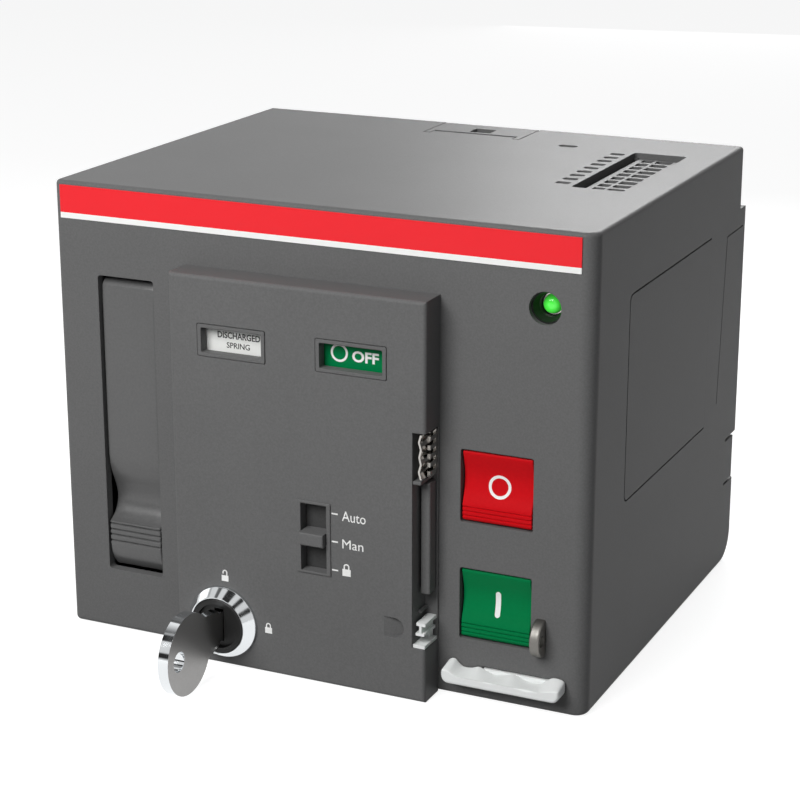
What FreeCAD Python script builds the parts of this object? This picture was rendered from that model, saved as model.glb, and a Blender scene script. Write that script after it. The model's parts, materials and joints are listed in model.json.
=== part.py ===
"""Stored-energy motor operator that is fastened on the front of a three-pole moulded-case breaker.

Millimetres. X to the right, Y into the depth, Z up: the front face looks along -Y and the breaker sits
at +Y. The origin is the centre of the four mounting screws, in the rear mounting plane. Heights in this
file are counted from the bottom edge, and save() moves each piece down to the origin's height.
"""
import FreeCAD, Part
import math
import os
from FreeCAD import Vector

os.makedirs("parts", exist_ok=True)

# ---------------------------------------------------------------- driving dimensions
WIDTH = 140.0
HEIGHT = 115.6
DEPTH = 116.0
WALL = 2.5
TOP_WALL = 3.2
REAR_STEP = 4.8           # how far the upper back stands in from the mounting plane
STEP_Z = HEIGHT - 16.6     # the rear stands back above this height
REAR_CORNER_R = 8.0

FRONT = -DEPTH            # plane of the housing's front face
HALF = WIDTH / 2.0
SIDE_IN = HALF - WALL     # inner face of a side wall
TOP_IN = HEIGHT - TOP_WALL
FIT = 0.08                # radial clearance of a running or sliding fit
GAP = 0.3                 # free space between neighbours that move past each other

COVER_STEP = 8.0
COVER_X = (-34.0, 32.8)
COVER_TOP = 98.1
COVER_WALL = 2.0
COVER_FRONT = FRONT - COVER_STEP
COVER_BACK_OF_WALL = COVER_FRONT + WALL
COVER_CAVITY_X = (COVER_X[0] + COVER_WALL, 27.3)

LEVER_SLOT_X = (-58.6, -43.0)
LEVER_SLOT_Z = (16.15, 92.9)
LEVER_PIVOT_D = 4.6       # depth of the lever pin behind the front face
LEVER_PIVOT_Z = 88.3
LEVER_PIN_R = 2.0
PAWL_ARM = 24.0
PAWL_REACH = 33.2

BUTTON_W = 17.4
BUTTON_H = 17.2
BUTTON_GAP = 0.35
BUTTON_X = 47.2
OFF_Z = 53.05
ON_Z = 23.8
BUTTON_TRAVEL = 3.5
STEM_R = 3.0

SHAFT_D = 46.0
SHAFT_Z = 64.6
SHAFT_R = 5.0
MOTOR_D = 60.0
MOTOR_Z = 24.0
MOTOR_R = 17.0
STUB = 0.8                # tooth height above the pitch circle, in modules
MAIN_TEETH = 56
PINION_TEETH = 14
MAIN_MODULE = 1.0
FAST_MODULE = 0.8
RACK_TEETH = 20           # teeth of the rack's pinion
BACKLASH = 0.16

PLATE_L_X = (-41.5, -39.5)
PLATE_R_X = (40.0, 42.0)
PLATE_Z = (4.6, 108.4)
CARRIAGE_TRAVEL = 18.0
ROD_X = (-14.0, 30.0)
ROD_D = 70.0
ROD_R = 2.5
FORK_TRAVEL = 28.0
RAIL_X = 20.0
RAIL_D = 99.0

LOCK_X = -21.2
LOCK_Z = 11.4
PLUG_R = 5.6
BARREL_R = PLUG_R + 1.4

FLAG_TRAVEL = 8.0
WINDOW_Z = (79.5, 85.6)
SPRING_WINDOW_X = (-25.35, -9.3)
STATE_WINDOW_X = (5.9, 22.0)

MODE_X = 4.0
MODE_Z = 37.3
MODE_TRAVEL = 6.7

TAB_X = (35.6, 65.8)
TAB_Z = 4.9
TAB_PROUD = 5.0
BLADE_X = (44.6, 62.0)
SHACKLE_R = 3.2
BLADE_Z = (6.2, 8.2)

LUG_GAP = 1.6             # between the lower button and the seal lug
LUG_T = 2.4
LUG_X = (BUTTON_X + BUTTON_W / 2.0 + LUG_GAP, BUTTON_X + BUTTON_W / 2.0 + LUG_GAP + LUG_T)
LUG_Z = 18.6
LUG_R = 4.6

LED_X = 58.2
LED_Z = 97.6
LED_HOLE_R = 3.85

FRAME_T = 3.2             # rear frame: thickness of its base
FRAME_FRONT = -REAR_STEP - FRAME_T
FRAME_OPENING_X = 13.0
FRAME_OPENING_Z = (22.0, 86.0)
MOUNT_X = 52.0
MOUNT_Z = (30.0, 84.0)
MOUNT_R = 2.25
MOUNT_MIDDLE_Z = (MOUNT_Z[0] + MOUNT_Z[1]) / 2.0

LATCH_X = (-14.5, 12.9)
LATCH_PIVOT_Y = -19.0
LATCH_PIVOT_Z = HEIGHT - 1.5

SIDE_COVER_D = (23.4, 86.0)
SIDE_COVER_Z = (45.6, 96.5)
LABEL_X = (-68.3, 66.6)
LABEL_Z = (HEIGHT - 9.2, HEIGHT - 1.0)


# ---------------------------------------------------------------- helpers
def deep(depth):
    """Y of a plane this far behind the housing's front face."""
    return FRONT + depth


def box(x, y, z):
    """A block between two X, two Y and two Z values."""
    return Part.makeBox(x[1] - x[0], y[1] - y[0], z[1] - z[0], Vector(x[0], y[0], z[0]))


def rod(axis, radius, span, across):
    """A cylinder along an axis; across holds its other two coordinates in X, Y, Z order."""
    length = span[1] - span[0]
    if axis == "x":
        return Part.makeCylinder(radius, length, Vector(span[0], across[0], across[1]), Vector(1, 0, 0))
    if axis == "y":
        return Part.makeCylinder(radius, length, Vector(across[0], span[0], across[1]), Vector(0, 1, 0))
    return Part.makeCylinder(radius, length, Vector(across[0], across[1], span[0]), Vector(0, 0, 1))


def fuse(*shapes):
    """All shapes joined into one solid."""
    return shapes[0].multiFuse(list(shapes[1:])).removeSplitter()


def cut(shape, *tools):
    """The shape with every tool taken away."""
    return shape.cut(list(tools))


def grow(span, amount):
    """A span widened by the same amount at both ends."""
    return (span[0] - amount, span[1] + amount)


def around(centre, size):
    """The span of a given size around a centre."""
    return (centre - size / 2.0, centre + size / 2.0)


def prism_x(points, x):
    """A polygon of (y, z) points carried from one X to another."""
    wire = Part.makePolygon([Vector(x[0], y, z) for y, z in points + points[:1]])
    return Part.Face(wire).extrude(Vector(x[1] - x[0], 0, 0))


def prism_y(points, y):
    """A polygon of (x, z) points carried from one Y to another."""
    wire = Part.makePolygon([Vector(x, y[0], z) for x, z in points + points[:1]])
    return Part.Face(wire).extrude(Vector(0, y[1] - y[0], 0))


def rounded(shape, radius, wanted):
    """The shape with a fillet on each edge whose middle and direction are wanted."""
    edges = []
    for edge in shape.Edges:
        first, last = edge.ParameterRange
        middle = edge.valueAt((first + last) / 2.0)
        run = edge.valueAt(last) - edge.valueAt(first)
        if run.Length > 1e-6:
            run.normalize()
        if wanted(middle, run):
            edges.append(edge)
    return shape.makeFillet(radius, edges) if edges else shape


def pill(axis, x, y, z, radius):
    """A block whose four edges along an axis are rounded."""
    along = {"x": Vector(1, 0, 0), "y": Vector(0, 1, 0), "z": Vector(0, 0, 1)}[axis]
    return rounded(box(x, y, z), radius, lambda middle, run: abs(run.dot(along)) > 0.99)


def near(value, target):
    """Whether two coordinates are the same plane."""
    return abs(value - target) < 0.01


def save(name, *solids):
    """Writes a node's solids to its own file, moved down to the height of the origin."""
    shape = solids[0] if len(solids) == 1 else Part.makeCompound(list(solids))
    shape = shape.copy()
    shape.translate(Vector(0, 0, -MOUNT_MIDDLE_Z))
    shape.exportStep("parts/" + name + ".step")


def involute(angle):
    """The involute of a pressure angle."""
    return math.tan(angle) - angle


def gear_outline(teeth, module, phase):
    """(y, z) points of an external gear about the origin, with a tooth centred on the phase angle."""
    pitch_r = teeth * module / 2.0
    base_r = pitch_r * math.cos(math.radians(20.0))
    root_r = pitch_r - 1.15 * module
    tip_r = pitch_r + STUB * module
    half = math.pi / (2 * teeth) - BACKLASH / (2 * pitch_r) + involute(math.radians(20.0))
    flank = [root_r]
    steps = 5
    start = max(base_r, root_r)
    flank += [start + (tip_r - start) * k / steps for k in range(steps + 1)]
    rising = []
    for radius in flank:
        spread = half - involute(math.acos(min(1.0, base_r / radius)))
        rising.append((radius, spread))
    rising = rising[1:] if near(flank[0], flank[1]) else rising
    points = []
    for tooth in range(teeth):
        centre = phase + 2 * math.pi * tooth / teeth
        for radius, spread in rising:
            points.append((radius * math.cos(centre - spread), radius * math.sin(centre - spread)))
        for radius, spread in reversed(rising):
            points.append((radius * math.cos(centre + spread), radius * math.sin(centre + spread)))
    return points


def gear(teeth, module, centre, x, phase):
    """A gear on an axis along X; centre is its (depth, z)."""
    middle = (deep(centre[0]), centre[1])
    return prism_x([(middle[0] + y, middle[1] + z) for y, z in gear_outline(teeth, module, phase)], x)


def coil_spring(axis, radius, wire, span, across, turns):
    """A round-wire spring with a closed ring at each end."""
    length = span[1] - span[0] - wire
    helix = Part.makeHelix(length / turns, length, radius)
    profile = Part.Wire(Part.makeCircle(wire / 2.0, Vector(radius, 0, 0), Vector(0, 1, 0)))
    body = Part.Wire(helix.Edges).makePipeShell([profile], True, True)
    body.translate(Vector(0, 0, wire / 2.0))
    if axis == "y":
        body.rotate(Vector(0, 0, 0), Vector(1, 0, 0), -90)
        body.translate(Vector(across[0], span[0], across[1]))
    else:
        body.translate(Vector(across[0], across[1], span[0]))
    return body


# ---------------------------------------------------------------- places worked out from the dimensions
MAIN_PITCH_R = MAIN_TEETH * MAIN_MODULE / 2.0
RACK_PITCH_R = RACK_TEETH * MAIN_MODULE / 2.0
SLOW_CENTRES = (MAIN_TEETH + PINION_TEETH) * MAIN_MODULE / 2.0
FAST_CENTRES = (MAIN_TEETH + PINION_TEETH) * FAST_MODULE / 2.0


def idler_place():
    """(depth, z) of the idler: the right distance from the shaft and the motor, on the rear side."""
    run = (MOTOR_D - SHAFT_D, MOTOR_Z - SHAFT_Z)
    distance = math.hypot(*run)
    along = (SLOW_CENTRES ** 2 - FAST_CENTRES ** 2 + distance ** 2) / (2 * distance)
    aside = math.sqrt(SLOW_CENTRES ** 2 - along ** 2)
    unit = (run[0] / distance, run[1] / distance)
    return (SHAFT_D + along * unit[0] - aside * unit[1], SHAFT_Z + along * unit[1] + aside * unit[0])


IDLER_D, IDLER_Z = idler_place()
SHAFT_TO_IDLER = math.atan2(IDLER_Z - SHAFT_Z, IDLER_D - SHAFT_D)
IDLER_TO_MOTOR = math.atan2(MOTOR_Z - IDLER_Z, MOTOR_D - IDLER_D)
MAIN_GEAR_X = (-38.0, -33.0)
FAST_GEAR_X = (-32.0, -28.0)
RATCHET_X = (-55.0, -49.0)
RATCHET_R = (math.hypot(SHAFT_D - LEVER_PIVOT_D, SHAFT_Z - LEVER_PIVOT_Z) - PAWL_REACH - 0.5)
MOTOR_X = (-26.0, 24.0)
SPACERS = [(20.0, 102.0), (34.0, 12.0), (90.0, 105.0), (90.0, 10.0)]
SPACER_R = 3.5
RACK_X = (4.0, 12.0)
RACK_BACK_D = SHAFT_D + RACK_PITCH_R + 6.0
RACK_Z = (44.0, 86.0)
CARRIAGE_Z = (56.0, 62.0)
ANCHOR_Z = (104.0, 108.0)
FRAME_SCREWS = [(side * 61.0, z) for side in (-1, 1) for z in (14.0, HEIGHT - 10.6)]


# ---------------------------------------------------------------- enclosure
def side_outline():
    """The housing's outline seen from the side, as a face at its left end."""
    x = -HALF
    r = REAR_CORNER_R
    notch = (22.9, 36.3)
    half_way = Vector(x, -r + r * math.sin(math.pi / 4), r - r * math.cos(math.pi / 4))
    corner = Part.Arc(Vector(x, -r, 0), half_way, Vector(x, 0, r)).toShape()
    path = [(0, r), (0, notch[0]), (-2, notch[0]), (-2, notch[1]), (0, notch[1]), (0, STEP_Z),
            (-REAR_STEP, STEP_Z), (-REAR_STEP, HEIGHT), (FRONT, HEIGHT), (FRONT, 0), (-r, 0)]
    lines = [Part.makeLine(Vector(x, *a), Vector(x, *b)) for a, b in zip(path, path[1:])]
    return Part.Face(Part.Wire([corner] + lines))


def housing_block():
    """The outside of the housing with its edges rounded, before anything is cut."""
    block = side_outline().extrude(Vector(WIDTH, 0, 0))
    upright = lambda middle, run: abs(run.z) > 0.99 and near(middle.y, FRONT)
    block = rounded(block, 3.4, lambda m, run: upright(m, run) and m.x > 0)
    block = rounded(block, 1.6, lambda m, run: upright(m, run) and m.x < 0)
    block = rounded(block, 1.0, lambda m, run: near(m.z, HEIGHT) and not near(m.y, -REAR_STEP))
    return rounded(block, 1.2, lambda m, run: near(m.z, 0) and not near(m.y, -REAR_CORNER_R))


def vents():
    """Cutters for the top: a row of slots, and a sunk grille with two more rows and a gap at two sides."""
    tools = []
    through = (HEIGHT - 8.0, HEIGHT + 1.0)
    for row in range(9):
        y = deep(48.45 + 4.875 * row)
        tools.append(pill("z", (41.8, 45.5), around(y, 2.4), through, 0.8))
        y = deep(50.9 + 4.6 * row)
        tools.append(pill("z", (50.2, 53.2), around(y, 3.2), through, 0.5))
        tools.append(pill("z", (54.0, 58.2), around(y, 3.2), through, 0.5))
    grille_x = (47.0, 61.0)
    grille_y = (deep(44.7), deep(91.5))
    gap = 1.7
    tools.append(pill("z", grille_x, grille_y, (HEIGHT - 1.3, HEIGHT + 1.0), 1.0))
    tools.append(box((grille_x[0], grille_x[0] + gap), (grille_y[0] + 1.0, grille_y[1] - 1.0), through))
    tools.append(box((grille_x[0] + 1.0, grille_x[1] - 1.0), (grille_y[1] - gap, grille_y[1]), through))
    tools.append(pill("z", (25.6, 30.8), around(deep(92.6), 2.6), through, 1.2))
    return tools


def rear_seam():
    """Cutter for the shallow seam behind the access cover, on the outside of the right wall."""
    depth = (HALF - 0.3, HALF + 1.0)
    along = prism_x([(-16.0, 93.6), (-2.0, 93.8), (-2.0, 94.2), (-16.0, 94.0)], depth)
    down = prism_x([(-16.0, 94.0), (-15.6, 94.0), (-19.1, 49.2), (-19.5, 49.2)], depth)
    return fuse(along, down)


def latch_opening():
    """Cutters for the release latch in the rear of the top wall."""
    z = (TOP_IN - 1.0, HEIGHT + 1.0)
    whole = box(grow(LATCH_X, GAP), (LATCH_PIVOT_Y - 1.6, 1.0), z)
    tongue = box((LATCH_X[0] + 1.9, LATCH_X[1] - 1.9), (LATCH_PIVOT_Y - 2.0, LATCH_PIVOT_Y + 0.8), z)
    pins = rod("x", 0.9 + 0.05, grow(LATCH_X, 1.8), (LATCH_PIVOT_Y, LATCH_PIVOT_Z))
    return [whole.cut(tongue), pins]


def side_opening(spare):
    """The access opening in the right wall, widened at its front, top and bottom by some spare."""
    z = grow(SIDE_COVER_Z, spare)
    y = (deep(SIDE_COVER_D[0]) - spare, deep(SIDE_COVER_D[1]))
    block = box((SIDE_IN - 1.0, HALF + 1.0), y, z)
    return rounded(block, 2.0, lambda m, run: abs(run.x) > 0.99 and near(m.y, y[0]))


def button_opening(z):
    """Cutter for a push button's opening in the front wall."""
    return pill("y", around(BUTTON_X, BUTTON_W + 2 * BUTTON_GAP), (deep(-1.0), deep(WALL + 0.5)),
                around(z, BUTTON_H + 2 * BUTTON_GAP), 0.6)


def make_housing_shell():
    """Moulded shell: front, top, bottom and side walls, open at the back."""
    shell = cut(housing_block(), box((-SIDE_IN, SIDE_IN), (deep(WALL), 1.0), (WALL, TOP_IN)))
    through = (deep(-1.0), deep(WALL + 0.5))
    lever = pill("y", LEVER_SLOT_X, through, LEVER_SLOT_Z, 0.8)
    behind_cover = box((COVER_X[0] + 3.0, COVER_CAVITY_X[1] + 1.2), through, (3.5, 93.0))
    led = rod("y", LED_HOLE_R, through, (LED_X, LED_Z))
    lock = rod("y", BARREL_R + GAP, through, (LOCK_X, LOCK_Z))
    blade = box(grow(BLADE_X, 0.4), through, grow(BLADE_Z, GAP))
    lug = box(grow(LUG_X, 0.1), through, around(LUG_Z, 5.2))
    clips = [box((-HALF - 1, HALF + 1), (-9.0, 1.0), around(z, 0.8)) for z in (23.3, 35.9)]
    mid = box((-60, 60), (-10.0, 2.0), (20.0, 40.0))
    openings = [lever, behind_cover, led, lock, blade, lug, button_opening(OFF_Z), button_opening(ON_Z)]
    openings += [side_opening(0.0), rear_seam()]
    shell = cut(shell, *openings, *vents(), *latch_opening(), *[clip.cut(mid) for clip in clips])
    pivot = (deep(LEVER_PIVOT_D), LEVER_PIVOT_Z)
    bosses = []
    for x in ((LEVER_SLOT_X[0] - 4.0, LEVER_SLOT_X[0] - 0.6), (LEVER_SLOT_X[1] + 0.6, PLATE_L_X[1])):
        bosses.append(box(x, (deep(WALL), deep(9.0)), around(LEVER_PIVOT_Z, 8.0)))
    for x, z in FRAME_SCREWS:
        side = 1 if x > 0 else -1
        post = rod("y", 3.5, (-28.0, FRAME_FRONT), (x, z))
        web = box(tuple(sorted((x, side * SIDE_IN))), (-28.0, FRAME_FRONT), around(z, 4.0))
        bosses += [post, web]
    shell = fuse(shell, *bosses)
    bores = [rod("y", 1.3, (-26.0, FRAME_FRONT + 1.0), (x, z)) for x, z in FRAME_SCREWS]
    pin_x = (LEVER_SLOT_X[0] - 4.0, PLATE_L_X[1])
    return cut(shell, rod("x", LEVER_PIN_R, pin_x, pivot), *bores)


def make_rear_frame():
    """Plate behind the mechanism: base, raised mounting pad, rail lugs and the opening for the fork."""
    half = SIDE_IN - GAP
    base = box((-half, half), (FRAME_FRONT, -REAR_STEP), (WALL + GAP, TOP_IN - GAP))
    pad = box((-half, half), (-REAR_STEP, 0.0), (8.5, STEP_Z - GAP))
    lugs = []
    for x in (-RAIL_X, RAIL_X):
        for z in ((14.0, 18.0), (96.0, 100.0)):
            lugs.append(box(around(x, 7.0), (deep(RAIL_D) - 3.5, FRAME_FRONT), z))
    frame = fuse(base, pad, *lugs)
    opening = pill("y", (-FRAME_OPENING_X, FRAME_OPENING_X), (FRAME_FRONT - 1, 1.0), FRAME_OPENING_Z, 2.0)
    holes = [rod("y", MOUNT_R, (FRAME_FRONT - 1, 1.0), (x, z)) for x in (-MOUNT_X, MOUNT_X) for z in MOUNT_Z]
    rails = [rod("z", ROD_R, (10.0, 104.0), (x, deep(RAIL_D))) for x in (-RAIL_X, RAIL_X)]
    screws = [rod("y", 1.6, (FRAME_FRONT - 1, 1.0), place) for place in FRAME_SCREWS]
    sinks = [rod("y", 3.3, (-4.0, 1.0), place) for place in FRAME_SCREWS if place[1] < STEP_Z]
    sides = [box(tuple(sorted((side * 59.0, side * HALF))), (-2.0, 1.0), (22.9, 36.3)) for side in (-1, 1)]
    hook = box(grow(LATCH_X, 1.0), (FRAME_FRONT - 1, 1.0), (TOP_IN - 6.4, HEIGHT))
    return cut(frame, opening, hook, *holes, *rails, *screws, *sinks, *sides)


def make_side_cover():
    """Access cover in the right wall; its flange lies behind the wall, and its rear edge butts."""
    groove = 0.4
    y = (deep(SIDE_COVER_D[0]) + groove, deep(SIDE_COVER_D[1]))
    z = grow(SIDE_COVER_Z, -groove)
    plate = box((SIDE_IN, HALF), y, z)
    plate = rounded(plate, 1.7, lambda m, run: abs(run.x) > 0.99 and near(m.y, y[0]))
    flange = box((SIDE_IN - 1.4, SIDE_IN), grow(y, 2.0), grow(z, 2.0))
    save("side_cover", fuse(plate, flange))


def make_top_latch():
    """Release latch that hooks the operator on the breaker: a plate on two arms with pivot pins."""
    under = TOP_IN + 0.4
    arm_end = LATCH_PIVOT_Y + 2.4
    plate = box(LATCH_X, (arm_end, -5.2), (under, HEIGHT))
    arms = []
    for x in ((LATCH_X[0], LATCH_X[0] + 1.6), (LATCH_X[1] - 1.6, LATCH_X[1])):
        arms.append(box(x, (LATCH_PIVOT_Y - 1.1, arm_end), (under, HEIGHT)))
    pins = rod("x", 0.9, grow(LATCH_X, 1.4), (LATCH_PIVOT_Y, LATCH_PIVOT_Z))
    middle = box(grow(LATCH_X, -1.6), (LATCH_PIVOT_Y - 2, arm_end), (TOP_IN - 10.0, HEIGHT))
    hook_x = (-9.0, 7.4)
    hook_z = TOP_IN - 4.4
    hook = box(hook_x, (-6.8, -5.2), (hook_z, under))
    nose = box(hook_x, (-5.2, -1.6), (hook_z, hook_z + 2.0))
    body = fuse(plate, *arms, pins.cut(middle), hook, nose)
    tool = pill("z", (-3.4, 2.6), (-15.4, -10.2), (TOP_IN - 1, HEIGHT + 1), 0.4)
    save("top_latch", body.cut(tool))


def make_header_label():
    """Printed strip under the top edge of the front face."""
    save("header_label", box(LABEL_X, (FRONT - 0.25, FRONT), LABEL_Z))


# ---------------------------------------------------------------- raised front cover
NOTCH_X = 29.5
NOTCH_Z = (13.7, 67.0)
NOTCH_FLOOR = FRONT - 0.6


def nail_recess():
    """Cutter for the half-round fingernail recess, deepest at its right end."""
    x = (22.2, 27.4)
    z = (15.5, 20.5)
    middle = (z[0] + z[1]) / 2.0
    disc = rod("y", 2.5, (COVER_FRONT - 1, COVER_FRONT + 3), (x[1] - 2.5, middle))
    block = box((x[0], x[1] - 2.5), (COVER_FRONT - 1, COVER_FRONT + 3), z)
    before = COVER_FRONT - 1
    slope = [(x[0], before), (x[1], before), (x[1], COVER_FRONT + 1.9), (x[0], COVER_FRONT)]
    wire = Part.makePolygon([Vector(px, py, z[0] - 1) for px, py in slope + slope[:1]])
    wedge = Part.Face(wire).extrude(Vector(0, 0, z[1] - z[0] + 2))
    return fuse(disc, block).common(wedge)


def make_front_cover():
    """Hollow raised cover with its windows, selector slot, lock hole and open notch."""
    body = box(COVER_X, (COVER_FRONT, FRONT), (0.0, COVER_TOP))
    body = rounded(body, 0.9, lambda m, run: near(m.y, COVER_FRONT))
    cavity = box(COVER_CAVITY_X, (COVER_BACK_OF_WALL, FRONT + 1), (WALL, COVER_TOP - WALL))
    front = (COVER_FRONT - 1, COVER_BACK_OF_WALL + 0.5)
    tools = [cavity, nail_recess()]
    for x in (SPRING_WINDOW_X, STATE_WINDOW_X):
        tools.append(pill("y", x, front, WINDOW_Z, 0.4))
        frame_y = (COVER_FRONT - 1, COVER_FRONT + 0.35)
        tools.append(pill("y", grow(x, 1.1), frame_y, grow(WINDOW_Z, 1.0), 0.4))
    tools.append(box(around(MODE_X, 7.6), front, around(MODE_Z, 17.6)))
    tools.append(rod("y", BARREL_R, front, (LOCK_X, LOCK_Z)))
    tools.append(box((NOTCH_X, COVER_X[1] + 1), (COVER_FRONT - 1, NOTCH_FLOOR), NOTCH_Z))
    body = cut(body, *tools)
    shelf = box((NOTCH_X, NOTCH_X + 2.1), (COVER_FRONT + 0.2, NOTCH_FLOOR), (54.5, 55.3))
    stop = box((NOTCH_X, NOTCH_X + 0.8), (COVER_FRONT + 3.4, NOTCH_FLOOR), (21.4, 22.0))
    save("front_cover", fuse(body, shelf, stop))


def make_notch_pieces():
    """What is seen in the notch: shutter bar, contact comb, contact spring and position clip."""
    bar = pill("z", (30.0, 32.4), (COVER_FRONT + 3.6, NOTCH_FLOOR - GAP), (26.4, 53.9), 0.5)
    save("shutter_bar", bar)
    comb = box((31.9, COVER_X[1] - 0.2), (COVER_FRONT + 3.2, NOTCH_FLOOR), (55.6, 66.6))
    slots = []
    for k in range(5):
        slots.append(box((31.5, 33.0), (COVER_FRONT + 2.5, NOTCH_FLOOR - 1.0), around(57.6 + 2.1 * k, 1.0)))
    save("contact_comb", cut(comb, *slots))
    path = [(31.2, 0.0), (30.7, 1.8), (31.2, 3.6), (30.8, 5.4), (31.2, 7.2), (30.7, 9.0), (31.2, 10.8)]
    left = [(x, 55.7 + rise) for x, rise in path]
    right = [(x + 0.45, z) for x, z in reversed(left)]
    save("contact_spring", prism_y(left + right, (COVER_FRONT + 0.5, NOTCH_FLOOR)))
    z0 = NOTCH_Z[0]
    foot = box((NOTCH_X + 0.1, COVER_X[1] - 0.2), (COVER_FRONT + 0.4, NOTCH_FLOOR), (z0, z0 + 0.8))
    stem = box((30.6, 31.6), (NOTCH_FLOOR - 2.0, NOTCH_FLOOR), (z0 + 0.8, z0 + 6.2))
    low = box((30.0, 32.2), (COVER_FRONT + 1.0, NOTCH_FLOOR), (z0 + 2.9, z0 + 3.6))
    web = box((30.9, 31.5), (COVER_FRONT + 1.0, NOTCH_FLOOR), (z0 + 3.6, z0 + 5.4))
    high = box((30.2, 32.5), (COVER_FRONT + 1.0, NOTCH_FLOOR), (z0 + 5.4, z0 + 6.2))
    save("position_clip", fuse(foot, stem, low, web, high))


def make_indicators():
    """The two sliding flags and the plate that guides their stems."""
    plate_y = (FRONT - 3.8, FRONT - 2.3)
    plate = box(COVER_CAVITY_X, plate_y, (66.0, COVER_TOP - WALL))
    flag_y = (COVER_BACK_OF_WALL + GAP, COVER_BACK_OF_WALL + GAP + 1.0)
    low = WINDOW_Z[0] - 0.7
    at_rest = {
        "spring_flag": (SPRING_WINDOW_X, low - FLAG_TRAVEL, 1),
        "position_flag": (STATE_WINDOW_X, low, -1),
    }
    for name, (window, bottom, way) in at_rest.items():
        x = grow(window, 1.4)
        middle = (x[0] + x[1]) / 2.0
        flag = box(x, flag_y, (bottom, bottom + 2 * FLAG_TRAVEL - 0.1))
        z = bottom + FLAG_TRAVEL
        stem = rod("y", 1.2, (flag_y[1], FRONT + 4.0), (middle, z))
        save(name, fuse(flag, stem))
        track = tuple(sorted((z, z + way * FLAG_TRAVEL)))
        plate = plate.cut(pill("y", around(middle, 3.2), grow(plate_y, 1.0), grow(track, 1.6), 1.55))
    save("indicator_plate", plate)


def make_selector():
    """Mode selector: bezel in the cover, sliding knob with its back plate, and the retainer behind."""
    slot_x = around(MODE_X, 6.8)
    slot_z = around(MODE_Z, 17.0)
    ring = box(around(MODE_X, 8.9), (COVER_FRONT - 0.35, COVER_FRONT), around(MODE_Z, 18.4))
    ring = rounded(ring, 0.25, lambda m, run: near(m.y, COVER_FRONT - 0.35))
    liner = box(around(MODE_X, 7.6), (COVER_FRONT, COVER_BACK_OF_WALL), around(MODE_Z, 17.6))
    slot = box(slot_x, (COVER_FRONT - 2, COVER_BACK_OF_WALL + 1), slot_z)
    save("selector_bezel", fuse(ring, liner).cut(slot))
    back = (COVER_BACK_OF_WALL + GAP, COVER_BACK_OF_WALL + GAP + 1.2)
    knob = box(around(MODE_X, 6.4), (COVER_FRONT - 2.0, back[0]), around(MODE_Z, 3.2))
    knob = rounded(knob, 0.4, lambda m, run: near(m.y, COVER_FRONT - 2.0))
    plate = box(around(MODE_X, 12.0), back, around(MODE_Z, 17.0 + 2 * MODE_TRAVEL + 2.0))
    finger = rod("y", 1.2, (back[1], FRONT + 3.0), (MODE_X, MODE_Z))
    save("mode_slider", fuse(knob, plate, finger))
    hold = (back[1] + GAP, back[1] + GAP + 1.4)
    web = box(around(MODE_X, 17.6), hold, around(MODE_Z, 40.0))
    legs = [box(around(MODE_X + side * 7.6, 2.4), (COVER_BACK_OF_WALL, hold[0]), around(MODE_Z, 40.0))
            for side in (-1, 1)]
    track = pill("y", around(MODE_X, 3.0), grow(hold, 1.0), around(MODE_Z, 2 * MODE_TRAVEL + 3.4), 1.45)
    save("selector_retainer", fuse(web, *legs).cut(track))
    body = box(around(MODE_X + 6.0, 5.0), (hold[1], hold[1] + 6.0), around(MODE_Z + 10.0, 12.0))
    return body


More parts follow.
